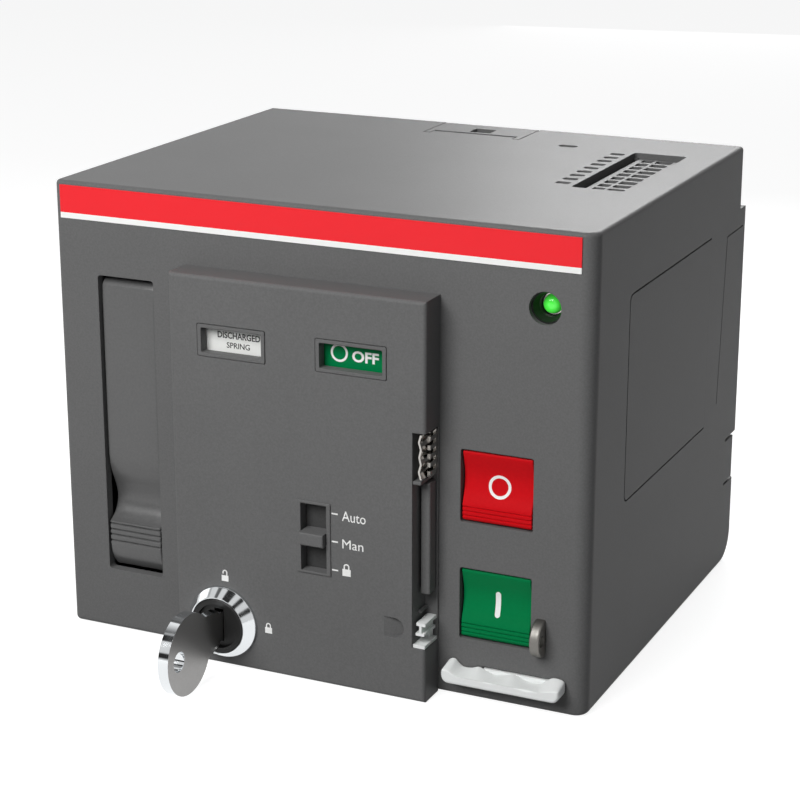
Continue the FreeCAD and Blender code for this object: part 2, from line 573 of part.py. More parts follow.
# ---------------------------------------------------------------- lock and key
def make_lock():
    """Cylinder lock: bezel, barrel with its nut, turning plug with a cam, and the key."""
    centre = (LOCK_X, LOCK_Z)
    cone = Part.makeCone(9.25, 7.5, 4.0, Vector(LOCK_X, COVER_FRONT, LOCK_Z), Vector(0, -1, 0))
    cone = rounded(cone, 0.25, lambda m, run: near(m.y, COVER_FRONT - 4.0))
    save("lock_bezel", cone.cut(rod("y", BARREL_R, (COVER_FRONT - 5, COVER_FRONT + 1), centre)))
    barrel = rod("y", BARREL_R, (COVER_FRONT - 3.5, deep(16.0)), centre)
    barrel = rounded(barrel, 0.5, lambda m, run: near(m.y, COVER_FRONT - 3.5))
    save("lock_barrel", barrel.cut(rod("y", PLUG_R + FIT, (COVER_FRONT - 5, deep(17.0)), centre)))
    nut_y = (COVER_BACK_OF_WALL, COVER_BACK_OF_WALL + 3.0)
    nut = rod("y", 8.4, nut_y, centre).cut(rod("y", BARREL_R + 0.02, grow(nut_y, 1), centre))
    notches = [box(around(LOCK_X, 30.0), (nut_y[1] - 1.2, nut_y[1] + 1), around(LOCK_Z, 2.0)),
               box(around(LOCK_X, 2.0), (nut_y[1] - 1.2, nut_y[1] + 1), around(LOCK_Z, 30.0))]
    save("lock_nut", cut(nut, *notches))
    plug = rod("y", PLUG_R, (COVER_FRONT - 2.2, deep(16.3)), centre)
    keyway = box(around(LOCK_X, 2.5), (COVER_FRONT - 4, COVER_FRONT + 23.0), around(LOCK_Z, 8.4))
    save("lock_plug", plug.cut(keyway))
    arm = box(around(LOCK_X, 6.0), (deep(16.3), deep(18.3)), (LOCK_Z - 4.0, LOCK_Z + 15.0))
    arm = rounded(arm, 2.4, lambda m, run: abs(run.y) > 0.99)
    save("lock_cam", arm)
    bow_y = COVER_FRONT - 19.0
    bow = rod("x", 10.1, around(LOCK_X, 2.8), (bow_y, LOCK_Z - 1.0))
    bow = rounded(bow, 0.35, lambda m, run: True)
    hole = rod("x", 2.5, around(LOCK_X, 4.0), (bow_y - 4.8, LOCK_Z - 1.0))
    neck = [(bow_y + 6.0, LOCK_Z - 6.6), (COVER_FRONT - 4.4, LOCK_Z - 4.6),
            (COVER_FRONT - 4.4, LOCK_Z + 4.6), (bow_y + 6.0, LOCK_Z + 5.6)]
    shoulder = prism_x(neck, around(LOCK_X, 2.2))
    blade = box(around(LOCK_X, 2.2), (COVER_FRONT - 4.4, COVER_FRONT + 20.0), around(LOCK_Z, 7.4))
    cuts = []
    for k, depth in enumerate((1.6, 0.8, 2.0, 1.2, 1.8)):
        y = COVER_FRONT + 2.0 + 3.2 * k
        bit = [(y - 1.3, LOCK_Z + 4.0), (y - 0.4, LOCK_Z + 3.7 - depth), (y + 0.4, LOCK_Z + 3.7 - depth),
               (y + 1.3, LOCK_Z + 4.0)]
        cuts.append(prism_x(bit, around(LOCK_X, 4.0)))
    save("key", cut(fuse(bow, shoulder, blade), hole, *cuts))


# ---------------------------------------------------------------- lever
def lever_outline():
    """(depth, z) outline of the lever: rounded top, long face, finger dip, ribbed grip."""
    top = LEVER_PIVOT_Z
    r = 4.1
    dp = LEVER_PIVOT_D
    turns = [math.radians(degrees) for degrees in range(0, 151, 15)]
    arc = [(dp + r * math.cos(a), top + r * math.sin(a)) for a in turns]
    face = [(0.9, 86.5), (0.9, 47.0), (1.3, 44.6), (2.4, 41.6), (3.5, 39.2), (4.0, 37.0), (3.7, 34.6),
            (2.8, 32.4), (1.5, 30.8), (0.4, 29.8), (0.1, 28.6), (0.1, 24.0), (0.4, 21.5), (1.2, 19.0),
            (2.7, 16.9)]
    back = [(6.4, 16.9), (7.6, 20.0), (8.2, 28.0), (8.4, 38.0), (7.6, 46.0), (6.2, 52.0), (6.2, 80.0)]
    return arc + face + back


def make_lever():
    """Charging lever with its drive pawl and the pins of both."""
    x = (LEVER_SLOT_X[0] + 0.4, LEVER_SLOT_X[1] - 0.4)
    blade = prism_x([(deep(d), z) for d, z in lever_outline()], x)
    grooves = [box(grow(x, 1), (deep(-1.0), deep(0.55)), around(z, 0.6)) for z in (29.2, 27.7, 25.8, 23.9)]
    pivot = (deep(LEVER_PIVOT_D), LEVER_PIVOT_Z)
    arm_x = (-48.6, -44.6)
    pawl_x = (RATCHET_X[0] + 0.5, RATCHET_X[1] - 0.5)
    pin_at = (deep(LEVER_PIVOT_D + PAWL_ARM), LEVER_PIVOT_Z)
    arm = fuse(box(arm_x, (deep(6.0), pin_at[0]), around(LEVER_PIVOT_Z, 7.0)), rod("x", 3.5, arm_x, pin_at))
    relief = box((pawl_x[0] - 0.3, arm_x[0]), (deep(9.0), deep(60.0)), (70.0, 110.0))
    lever = cut(fuse(blade, arm), relief, rod("x", LEVER_PIN_R + FIT, grow(x, 1), pivot),
                rod("x", 1.5, grow(arm_x, 1), pin_at), *grooves)
    save("charging_lever", lever)
    tip = deep(LEVER_PIVOT_D + PAWL_REACH)
    hub_r = 3.2
    beak = [(pin_at[0], LEVER_PIVOT_Z - hub_r), (tip - 1.2, LEVER_PIVOT_Z - hub_r / 2.0),
            (tip, LEVER_PIVOT_Z), (tip - 1.2, LEVER_PIVOT_Z + hub_r / 2.0), (pin_at[0], LEVER_PIVOT_Z + hub_r)]
    pawl = fuse(rod("x", hub_r, pawl_x, pin_at), prism_x(beak, pawl_x))
    save("drive_pawl", pawl.cut(rod("x", 1.5 + FIT, grow(pawl_x, 1), pin_at)))
    pin = rod("x", 1.5, (pawl_x[0] - 1.4, arm_x[1]), pin_at)
    head = rod("x", 2.4, (pawl_x[0] - 1.4, pawl_x[0] - 0.2), pin_at)
    save("pawl_pin", fuse(pin, head))


# ---------------------------------------------------------------- push buttons, tab, lug, lamp
def make_button(name, z):
    """Push button: dished face with a ribbed lower edge, stop flange and guided stem."""
    half = BUTTON_H / 2.0
    top = z + half
    low = z - half
    x = around(BUTTON_X, BUTTON_W)
    dish = [(1.2, top), (0.6, top - 0.3), (0.4, top - 0.8)]
    for k in range(1, 10):
        t = k / 10.0
        dish.append((0.4 - 0.2 * t + 1.9 * math.sin(math.pi * t), top - 0.8 - t * (BUTTON_H - 4.6)))
    dish += [(0.2, low + 3.8), (0.2, low + 0.9), (0.5, low + 0.3), (1.2, low)]
    block = prism_x([(deep(d), height) for d, height in dish + [(8.0, low), (8.0, top)]], x)
    groove_z = [low + 1.3 + 1.05 * k for k in range(3)]
    grooves = [box(grow(x, 1), (deep(-1.0), deep(0.6)), around(height, 0.45)) for height in groove_z]
    flange = box(grow(x, 0.9), (deep(WALL + GAP), deep(WALL + GAP + 2.0)), grow((low, top), 0.9))
    stem = rod("y", STEM_R, (deep(8.0), deep(24.0)), (BUTTON_X, z))
    save(name, cut(fuse(block, flange, stem), *grooves))
    save(name + "_spring", coil_spring("y", 4.4, 0.9, (deep(8.1), deep(17.9)), (BUTTON_X, z), 5))


def make_button_bracket():
    """Plate on the right mechanism plate that guides both button stems and holds the seal lug."""
    y = (deep(18.0), deep(20.0))
    plate = box((PLATE_R_X[1], 61.0), y, (12.0, 66.0))
    foot = box((PLATE_R_X[1], PLATE_R_X[1] + 2.0), (y[1], deep(34.0)), (40.0, 50.0))
    holes = [rod("y", STEM_R + FIT, grow(y, 1), (BUTTON_X, z)) for z in (OFF_Z, ON_Z)]
    save("button_bracket", cut(fuse(plate, foot), *holes))


def make_seal_lug():
    """Half-round sealing eye beside the lower button, with its shank inside."""
    disc = rod("x", LUG_R, LUG_X, (FRONT, LUG_Z)).common(box((0, HALF), (FRONT - 10, FRONT), (0, HEIGHT)))
    shank = box(LUG_X, (FRONT, deep(18.0)), around(LUG_Z, 5.0))
    lug = fuse(disc, shank)
    lug = rounded(lug, 0.4, lambda m, run: m.y < FRONT - 0.1 and abs(run.x) < 0.5)
    save("seal_lug", lug.cut(rod("x", 1.4, grow(LUG_X, 1), (FRONT - 2.3, LUG_Z))))


def make_padlock_tab():
    """Pull-out locking tab: scalloped grip and a blade with two shackle holes, in its guide."""
    x0, x1 = TAB_X
    low = TAB_Z
    crest = []
    span = x1 - x0
    for k in range(25):
        t = k / 24.0
        horn = 1.9 * (2 * abs(t - 0.5)) ** 6
        wave = 0.35 * math.cos(6 * math.pi * t + math.pi)
        crest.append((x1 - 1.6 - t * (span - 3.2), low + 2.95 + horn + wave))
    under = [(x0, low + 2.6), (x0 + 0.5, low + 1.1), (x0 + 1.6, low + 0.2), (x0 + 3.2, low),
             (x1 - 3.2, low), (x1 - 1.6, low + 0.2), (x1 - 0.5, low + 1.1), (x1, low + 2.6)]
    right_horn = [(x1, low + 3.8), (x1 - 0.6, low + 4.5)]
    left_horn = [(x0 + 0.6, low + 4.5), (x0, low + 3.8)]
    grip_y = (FRONT - 0.2 - TAB_PROUD, FRONT - 0.2)
    grip = prism_y(under + right_horn + crest + left_horn, grip_y)
    blade = box(BLADE_X, (FRONT - 0.2, deep(29.0)), BLADE_Z)
    hole_x = grow(BLADE_X, -4.6)
    holes = [rod("z", SHACKLE_R, (0.0, 12.0), (x, deep(9.0))) for x in hole_x]
    save("padlock_tab", cut(fuse(grip, blade), *holes))
    guide = box(grow(BLADE_X, 2.4), (deep(WALL), deep(30.0)), (WALL, BLADE_Z[1] + 2.3))
    save("tab_guide", guide.cut(box(grow(BLADE_X, GAP), (deep(0), deep(37.0)), grow(BLADE_Z, 0.15))))


def make_lamp():
    """Ready lamp: dark holder in the front wall and domed lens; returns its small board."""
    centre = (LED_X, LED_Z)
    sleeve = rod("y", LED_HOLE_R - 0.05, (deep(1.4), deep(4.0)), centre)
    flange = rod("y", 5.6, (deep(WALL), deep(4.0)), centre)
    tail = rod("y", 4.4, (deep(4.0), deep(10.0)), centre)
    bore = rod("y", 2.75, (deep(-1.0), deep(11.0)), centre)
    flare = Part.makeCone(3.5, 2.7, 2.2, Vector(LED_X, deep(1.4), LED_Z), Vector(0, 1, 0))
    save("lamp_holder", cut(fuse(sleeve, flange, tail), bore, flare))
    lens = rod("y", 2.45, (deep(3.4), deep(9.0)), centre)
    lens = rounded(lens, 1.2, lambda m, run: near(m.y, deep(3.4)))
    save("lamp_lens", fuse(lens, rod("y", 2.75, (deep(9.0), deep(10.0)), centre)))
    return box(around(LED_X, 12.0), (deep(10.0), deep(11.6)), around(LED_Z, 12.0))


# ---------------------------------------------------------------- charging mechanism
def make_plates():
    """Two steel side plates and the shaft's bushes; returns the screws of the plates."""
    bushes = []
    for name, x in (("mechanism_plate_left", PLATE_L_X), ("mechanism_plate_right", PLATE_R_X)):
        plate = pill("x", x, (deep(14.0), FRAME_FRONT), PLATE_Z, 3.0)
        tools = [rod("x", SHAFT_R + 2.0, grow(x, 1), (deep(SHAFT_D), SHAFT_Z))]
        tools += [rod("x", 2.0, grow(x, 1), (deep(d), z)) for d, z in SPACERS]
        tools += [pill("x", grow(x, 1), (deep(84.0), deep(100.0)), (30.0, 94.0), 4.0)]
        save(name, cut(plate, *tools))
        bush = rod("x", SHAFT_R + 2.0, x, (deep(SHAFT_D), SHAFT_Z))
        collar_x = (x[0] - 1.2, x[0]) if x[0] > 0 else (x[1], x[1] + 1.2)
        collar = rod("x", SHAFT_R + 3.4, collar_x, (deep(SHAFT_D), SHAFT_Z))
        bore = rod("x", SHAFT_R + 0.05, (-60.0, 60.0), (deep(SHAFT_D), SHAFT_Z))
        bushes.append(fuse(bush, collar).cut(bore))
    save("shaft_bushes", *bushes)
    screws = []
    for face, way in ((PLATE_L_X[0], -1), (PLATE_R_X[1], 1)):
        for d, z in SPACERS:
            head = rod("x", 3.4, tuple(sorted((face, face + way * 2.4))), (deep(d), z))
            shank = rod("x", 2.0, tuple(sorted((face, face - way * 2.0))), (deep(d), z))
            socket = rod("x", 1.6, tuple(sorted((face + way * 1.0, face + way * 3.0))), (deep(d), z))
            screws.append(fuse(head, shank).cut(socket))
    return screws


def make_shaft():
    """Charging shaft with its ratchet wheel, main gear and rack pinion."""
    centre = (deep(SHAFT_D), SHAFT_Z)
    save("charging_shaft", rod("x", SHAFT_R, (RATCHET_X[0] - 2.5, PLATE_R_X[1] + 2.0), centre))
    points = []
    teeth = 18
    for k in range(teeth):
        start = 2 * math.pi * k / teeth
        for share, radius in ((0.0, RATCHET_R), (0.08, RATCHET_R), (0.2, RATCHET_R - 2.2)):
            angle = start + share * 2 * math.pi / teeth
            points.append((centre[0] + radius * math.cos(angle), centre[1] + radius * math.sin(angle)))
    wheel = prism_x(points, RATCHET_X)
    bore = rod("x", SHAFT_R, (-70.0, 70.0), centre)
    save("ratchet_wheel", wheel.cut(bore))
    main = gear(MAIN_TEETH, MAIN_MODULE, (SHAFT_D, SHAFT_Z), MAIN_GEAR_X, SHAFT_TO_IDLER)
    windows = []
    for k in range(5):
        angle = math.radians(72 * k + 20)
        place = (centre[0] + 17 * math.cos(angle), centre[1] + 17 * math.sin(angle))
        windows.append(rod("x", 5.0, grow(MAIN_GEAR_X, 1), place))
    save("main_gear", cut(main, bore, *windows))
    pinion = gear(RACK_TEETH, MAIN_MODULE, (SHAFT_D, SHAFT_Z), grow(RACK_X, 0.5), 0.0)
    save("rack_pinion", pinion.cut(bore))


def make_idler():
    """Idler: large fast gear and slow pinion side by side; returns the fixed pin that carries them."""
    centre = (deep(IDLER_D), IDLER_Z)
    facing = SHAFT_TO_IDLER + math.pi + math.pi / PINION_TEETH
    slow_x = (MAIN_GEAR_X[0], MAIN_GEAR_X[1] + 1.0)
    slow = gear(PINION_TEETH, MAIN_MODULE, (IDLER_D, IDLER_Z), slow_x, facing)
    bore = rod("x", 2.5 + FIT, (-70.0, 0.0), centre)
    fast = gear(MAIN_TEETH, FAST_MODULE, (IDLER_D, IDLER_Z), FAST_GEAR_X, IDLER_TO_MOTOR)
    windows = []
    for k in range(5):
        angle = math.radians(72 * k)
        place = (centre[0] + 14 * math.cos(angle), centre[1] + 14 * math.sin(angle))
        windows.append(rod("x", 4.0, grow(FAST_GEAR_X, 1), place))
    save("idler_gear", cut(fast, bore, *windows), slow.cut(bore))
    pin = rod("x", 2.5, (PLATE_L_X[1], FAST_GEAR_X[1] + 1.4), centre)
    head = rod("x", 4.0, (FAST_GEAR_X[1] + GAP, FAST_GEAR_X[1] + 1.4), centre)
    return fuse(pin, head)


def make_motor():
    """Charging motor: can and end bell, the posts that carry it, and the shaft with its pinion."""
    centre = (deep(MOTOR_D), MOTOR_Z)
    can = rod("x", MOTOR_R, MOTOR_X, centre)
    can = rounded(can, 1.2, lambda m, run: near(m.x, MOTOR_X[0]))
    nose = rod("x", 5.0, (MOTOR_X[0] - 1.6, MOTOR_X[0]), centre)
    tunnel = rod("x", 1.6 + FIT, (MOTOR_X[0] - 3, MOTOR_X[0] + 20.0), centre)
    can = cut(fuse(can, nose), tunnel)
    bell = rod("x", MOTOR_R - 0.6, (MOTOR_X[1], MOTOR_X[1] + 5.0), centre)
    tab_x = (MOTOR_X[1] + 5.0, MOTOR_X[1] + 10.0)
    tabs = [box(tab_x, around(centre[0] + side * 9.0, 0.8), around(MOTOR_Z, 4.8)) for side in (-1, 1)]
    bell = rounded(bell, 1.0, lambda m, run: near(m.x, MOTOR_X[1] + 5.0))
    save("motor", can, fuse(bell, *tabs))
    posts = []
    away = IDLER_TO_MOTOR
    for turn in (-75, 0, 75):
        angle = away + math.radians(turn)
        place = (centre[0] + 12.5 * math.cos(angle), centre[1] + 12.5 * math.sin(angle))
        posts.append(rod("x", 2.2, (PLATE_L_X[1], MOTOR_X[0]), place))
    inner = (PLATE_L_X[1], PLATE_R_X[0])
    save("plate_spacers", *[rod("x", SPACER_R, inner, (deep(d), z)) for d, z in SPACERS], *posts)
    pinion_phase = IDLER_TO_MOTOR + math.pi + math.pi / PINION_TEETH
    pinion = gear(PINION_TEETH, FAST_MODULE, (MOTOR_D, MOTOR_Z), grow(FAST_GEAR_X, 0.3), pinion_phase)
    shaft = rod("x", 1.6, (FAST_GEAR_X[0] - 1.0, MOTOR_X[0] + 19.0), centre)
    save("motor_shaft", shaft, pinion.cut(rod("x", 1.6, (-70.0, 0.0), centre)))


def make_spring_drive():
    """Rack and carriage that compress the closing springs under the anchor bar; returns their rods."""
    pitch = math.pi * MAIN_MODULE
    line = SHAFT_D + RACK_PITCH_R
    root = line + 1.15 * MAIN_MODULE
    tip = line - STUB * MAIN_MODULE
    lean = math.tan(math.radians(20.0))
    half = pitch / 4.0 - BACKLASH / 2.0
    points = [(RACK_BACK_D, RACK_Z[0]), (root, RACK_Z[0])]
    first = math.ceil((RACK_Z[0] + 2.0 - SHAFT_Z) / pitch - 0.5)
    last = math.floor((RACK_Z[1] - 2.0 - SHAFT_Z) / pitch - 0.5)
    for k in range(first, last + 1):
        middle = SHAFT_Z + (k + 0.5) * pitch
        wide = half + 1.15 * MAIN_MODULE * lean
        thin = half - STUB * MAIN_MODULE * lean
        points += [(root, middle - wide), (tip, middle - thin), (tip, middle + thin), (root, middle + wide)]
    points += [(root, RACK_Z[1]), (RACK_BACK_D, RACK_Z[1])]
    save("carriage_rack", prism_x([(deep(d), z) for d, z in points], RACK_X))
    plate = box((ROD_X[0] - 8.0, ROD_X[1] + 8.0), (deep(RACK_BACK_D), deep(ROD_D + 8.0)), CARRIAGE_Z)
    hubs = [rod("z", 4.6, (CARRIAGE_Z[0] - 5.0, CARRIAGE_Z[0]), (x, deep(ROD_D))) for x in ROD_X]
    bores = [rod("z", ROD_R + FIT, (40.0, 80.0), (x, deep(ROD_D))) for x in ROD_X]
    save("spring_carriage", cut(fuse(plate, *hubs), *bores))
    bar = box((PLATE_L_X[1], PLATE_R_X[0]), around(deep(ROD_D), 12.0), ANCHOR_Z)
    rods = [rod("z", ROD_R, (44.0, ANCHOR_Z[1]), (x, deep(ROD_D))) for x in ROD_X]
    save("spring_anchor_bar", cut(bar, *rods))
    span = (CARRIAGE_Z[1] + 0.1, ANCHOR_Z[0] - 0.1)
    save("closing_springs", *[coil_spring("z", 6.0, 1.8, span, (x, deep(ROD_D)), 8) for x in ROD_X])
    return rods


def make_holding_pawl():
    """Pawl that keeps the ratchet wheel from turning back; returns its pin."""
    x = (RATCHET_X[0] + 0.5, RATCHET_X[1] - 0.5)
    pin_at = (deep(SHAFT_D + 16.0), SHAFT_Z + 16.0)
    reach = 16.0 * math.sqrt(2.0) - RATCHET_R - GAP
    side = 1 / math.sqrt(2.0)
    tip = (pin_at[0] - reach * side, pin_at[1] - reach * side)
    wide = 2.8 * side
    thin = 0.2 * side
    pawl = prism_x([(pin_at[0] - wide, pin_at[1] + wide), (tip[0] - thin, tip[1] + thin),
                    (tip[0] + thin, tip[1] - thin), (pin_at[0] + wide, pin_at[1] - wide)], x)
    pawl = fuse(pawl, rod("x", 3.6, x, pin_at))
    save("holding_pawl", pawl.cut(rod("x", 2.0 + FIT, grow(x, 1), pin_at)))
    shank = rod("x", 2.0, (x[0] - 1.4, PLATE_L_X[0]), pin_at)
    head = rod("x", 3.0, (x[0] - 1.4, x[0] - 0.2), pin_at)
    spacer = rod("x", 3.6, (x[1] + 0.2, PLATE_L_X[0]), pin_at)
    return fuse(shank, head, spacer)


def make_fork():
    """Operating fork that carries the breaker's toggle up and down; returns its two rails."""
    y = (deep(RAIL_D) - 6.0, deep(RAIL_D) + 5.0)
    z = (32.0, 46.0)
    bar = box((-RAIL_X - 5.5, RAIL_X + 5.5), y, z)
    block = box((-10.0, 10.0), (y[0], -2.0), (29.0, 49.0))
    pocket = box((-7.0, 7.0), (y[0] + 3.0, 0.0), (33.0, 45.0))
    bores = [rod("z", ROD_R + FIT, (20.0, 60.0), (x, deep(RAIL_D))) for x in (-RAIL_X, RAIL_X)]
    save("operating_fork", cut(fuse(bar, block), pocket, *bores))
    return [rod("z", ROD_R, (14.0, 100.0), (x, deep(RAIL_D))) for x in (-RAIL_X, RAIL_X)]


# ---------------------------------------------------------------- electrics
BOARD_X = (61.5, 63.1)


def make_electrics(mode_switch, lamp_board):
    """Control board on posts, its relays and capacitor, terminal block and small switches."""
    y = (deep(22.0), deep(86.0))
    z = (30.0, 103.0)
    corners = [(sy, sz) for sy in (y[0] + 6.0, y[1] - 6.0) for sz in (z[0] + 6.0, z[1] - 12.0)]
    holes = [rod("x", 1.6, grow(BOARD_X, 1), corner) for corner in corners]
    save("control_board", cut(box(BOARD_X, y, z), *holes), lamp_board)
    posts = []
    for corner in corners:
        post = rod("x", 2.6, (PLATE_R_X[1], BOARD_X[0]), corner)
        pin = rod("x", 1.6, (PLATE_R_X[1], BOARD_X[1]), corner)
        head = rod("x", 2.6, (BOARD_X[1], BOARD_X[1] + 1.6), corner)
        posts.append(fuse(post, pin, head))
    save("board_posts", *posts)
    relay_x = (BOARD_X[0] - 14.0, BOARD_X[0])
    relays = [pill("x", relay_x, around(deep(d), 16.0), (60.0, 76.0), 0.8) for d in (50.0, 70.0)]
    capacitor = rod("x", 8.0, (BOARD_X[0] - 18.0, BOARD_X[0]), (deep(60.0), 45.0))
    capacitor = rounded(capacitor, 0.8, lambda m, run: near(m.x, BOARD_X[0] - 18.0))
    save("board_components", *relays, capacitor)
    block = box((BOARD_X[0] - 12.0, BOARD_X[0]), (deep(32.0), deep(76.0)), (84.0, 95.0))
    wells = []
    for k in range(8):
        y = deep(35.4 + 5.3 * k)
        wells.append(rod("z", 1.8, (88.0, 96.0), (BOARD_X[0] - 5.0, y)))
        wells.append(box((BOARD_X[0] - 13.0, BOARD_X[0] - 7.5), around(y, 3.6), (85.5, 89.0)))
    save("terminal_block", cut(block, *wells))
    charged = box((PLATE_R_X[0] - 6.0, PLATE_R_X[0]), (deep(79.5), deep(83.5)), (76.0, 92.0))
    save("limit_switches", mode_switch, charged)


def make_screws(plate_screws):
    """All screws: those of the plates, and four that hold the rear frame to the housing's posts."""
    screws = list(plate_screws)
    for x, z in FRAME_SCREWS:
        seat = -4.0 if z < STEP_Z else -REAR_STEP
        head = rod("y", 2.8, (seat, seat + 2.2), (x, z))
        shank = rod("y", 1.3, (FRAME_FRONT - 14.0, seat), (x, z))
        cross = [box(around(x, 3.0), (seat + 1.0, seat + 3.0), around(z, 0.6)),
                 box(around(x, 0.6), (seat + 1.0, seat + 3.0), around(z, 3.0))]
        screws.append(cut(fuse(head, shank), *cross))
    save("screws", *screws)


def make_lever_pin():
    """Pin that the charging lever swings on, held in the housing's two bosses."""
    x = (LEVER_SLOT_X[0] - 4.0, PLATE_L_X[1])
    return rod("x", LEVER_PIN_R, x, (deep(LEVER_PIVOT_D), LEVER_PIVOT_Z))


# ---------------------------------------------------------------- all of it
save("housing_shell", make_housing_shell())
save("rear_frame", make_rear_frame())
make_side_cover()
make_top_latch()
make_header_label()
make_front_cover()
make_notch_pieces()
make_indicators()
selector_switch = make_selector()
make_lock()
make_lever()
make_button("off_button", OFF_Z)
make_button("on_button", ON_Z)
make_button_bracket()
make_seal_lug()
make_padlock_tab()
board_of_lamp = make_lamp()
screws_of_plates = make_plates()
make_shaft()
pin_of_idler = make_idler()
make_motor()
rods_of_springs = make_spring_drive()
pin_of_pawl = make_holding_pawl()
rails_of_fork = make_fork()
save("pivot_pins", make_lever_pin(), pin_of_idler, pin_of_pawl)
save("guide_rods", *rods_of_springs, *rails_of_fork)
make_electrics(selector_switch, board_of_lamp)
make_screws(screws_of_plates)
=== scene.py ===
"""Looks of a stored-energy operator for a circuit breaker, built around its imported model.

Sizes below are millimetres, X to the right and Y into the depth as in the frame, and heights are counted
from the bottom edge, as they are on a drawing. place() turns them into the frame's metres.
"""

import json
import math

import bmesh
import bpy
import numpy as np
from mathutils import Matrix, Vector
from mathutils.geometry import tessellate_polygon


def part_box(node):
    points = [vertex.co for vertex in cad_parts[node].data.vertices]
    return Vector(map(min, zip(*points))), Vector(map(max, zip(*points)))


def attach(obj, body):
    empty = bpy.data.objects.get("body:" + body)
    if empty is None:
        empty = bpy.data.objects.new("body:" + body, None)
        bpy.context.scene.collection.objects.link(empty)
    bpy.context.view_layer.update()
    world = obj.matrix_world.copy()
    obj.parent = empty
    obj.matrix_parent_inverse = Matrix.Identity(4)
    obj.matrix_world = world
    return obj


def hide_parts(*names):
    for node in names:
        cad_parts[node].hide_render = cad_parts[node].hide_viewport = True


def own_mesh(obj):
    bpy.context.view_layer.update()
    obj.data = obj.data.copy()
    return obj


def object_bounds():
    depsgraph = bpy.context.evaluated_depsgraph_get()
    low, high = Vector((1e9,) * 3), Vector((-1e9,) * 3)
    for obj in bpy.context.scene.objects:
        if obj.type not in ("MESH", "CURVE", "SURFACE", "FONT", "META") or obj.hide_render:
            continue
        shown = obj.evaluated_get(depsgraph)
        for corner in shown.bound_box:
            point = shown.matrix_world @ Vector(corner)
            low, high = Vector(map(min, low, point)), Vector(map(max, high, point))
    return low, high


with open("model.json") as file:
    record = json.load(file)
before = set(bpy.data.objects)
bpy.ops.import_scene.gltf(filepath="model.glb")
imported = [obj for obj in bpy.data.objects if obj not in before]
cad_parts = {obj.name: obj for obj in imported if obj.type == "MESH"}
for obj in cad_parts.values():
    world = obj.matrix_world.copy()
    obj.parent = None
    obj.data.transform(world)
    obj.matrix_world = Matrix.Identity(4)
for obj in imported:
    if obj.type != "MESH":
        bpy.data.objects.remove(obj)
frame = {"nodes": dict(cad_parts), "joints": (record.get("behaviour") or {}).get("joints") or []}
cad_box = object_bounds()
nodes = frame["nodes"]

MM = 0.001
BASE = cad_box[0][2]              # height of the bottom edge in the frame


def place(points):
    """Points in drawing millimetres as an (n, 3) array in the frame's metres."""
    return np.asarray(points, float) * MM + np.array([0.0, 0.0, BASE])


def span_of(node, axis, margin=0.0):
    """A CAD node's low and high end along an axis in drawing millimetres, each moved in by a margin."""
    k = "xyz".index(axis)
    low, high = ((corner[k] - (BASE if axis == "z" else 0.0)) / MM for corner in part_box(node))
    return round(low + margin, 2), round(high - margin, 2)


def middle_of(node, axes):
    """The middle of a CAD node's box along each of some axes, in drawing millimetres."""
    return tuple(round(sum(span_of(node, axis)) / 2, 2) for axis in axes)


def travel_of(joint):
    """How far a sliding joint goes from its rest place, in millimetres."""
    return round(next(j["range_m"][1] for j in frame["joints"] if j["name"] == joint) / MM, 2)


FRONT = span_of("housing_shell", "y")[0]
COVER = span_of("front_cover", "y")[0]


def new_object(name, data):
    """A new object in the scene."""
    made = bpy.data.objects.new(name, data)
    bpy.context.scene.collection.objects.link(made)
    return made


# ---------------------------------------------------------------- camera, lamps and floor
CAMERA_AT = (225.44, -552.69, 223.22)
CAMERA_TURN = 24.904
CAMERA_DOWN = 17.469
LENS = 98.0


def make_camera():
    """A long lens on the right and above."""
    data = bpy.data.cameras.new("camera")
    data.lens = LENS
    data.sensor_width = 36.0
    data.clip_start = 0.02
    camera = new_object("camera", data)
    camera.location = place([CAMERA_AT])[0]
    camera.rotation_euler = (math.radians(90 - CAMERA_DOWN), 0, math.radians(CAMERA_TURN))
    bpy.context.scene.camera = camera


def softbox(name, at, target, size, power):
    """A rectangular studio lamp at one place, turned to another; millimetres and watts."""
    data = bpy.data.lights.new(name, "AREA")
    data.shape = "RECTANGLE"
    data.size = size[0] * MM
    data.size_y = size[1] * MM
    data.energy = power
    lamp = new_object(name, data)
    start, end = place([at, target])
    lamp.location = start
    lamp.rotation_euler = Vector(end - start).to_track_quat("-Z", "Y").to_euler()


def linear(code):
    """Linear RGBA of an sRGB hex colour."""
    parts = [int(code[i:i + 2], 16) / 255 for i in (1, 3, 5)]
    return tuple(c / 12.92 if c <= 0.04045 else ((c + 0.055) / 1.055) ** 2.4 for c in parts) + (1.0,)


def add(tree, kind, inputs, **settings):
    """Adds a node: inputs maps a socket's name or number to a value or to another node's output."""
    node = tree.nodes.new(kind)
    for key, value in settings.items():
        setattr(node, key, value)
    for key, value in inputs.items():
        if isinstance(value, bpy.types.NodeSocket):
            tree.links.new(value, node.inputs[key])
        else:
            node.inputs[key].default_value = value
    return node


def new_tree(owner):
    """An empty node tree on a material or world."""
    owner.use_nodes = True
    owner.node_tree.nodes.clear()
    return owner.node_tree


def sees_backdrop(tree):
    """1 for a ray from the camera, off a glossy surface or through glass, and 0 for light on the object."""
    ray = add(tree, "ShaderNodeLightPath", {})
    seen = add(tree, "ShaderNodeMath", {0: ray.outputs["Is Camera Ray"], 1: ray.outputs["Is Glossy Ray"]},
               operation="MAXIMUM")
    seen = add(tree, "ShaderNodeMath", {0: seen.outputs[0], 1: ray.outputs["Is Transmission Ray"]},
               operation="MAXIMUM")
    return seen.outputs[0]


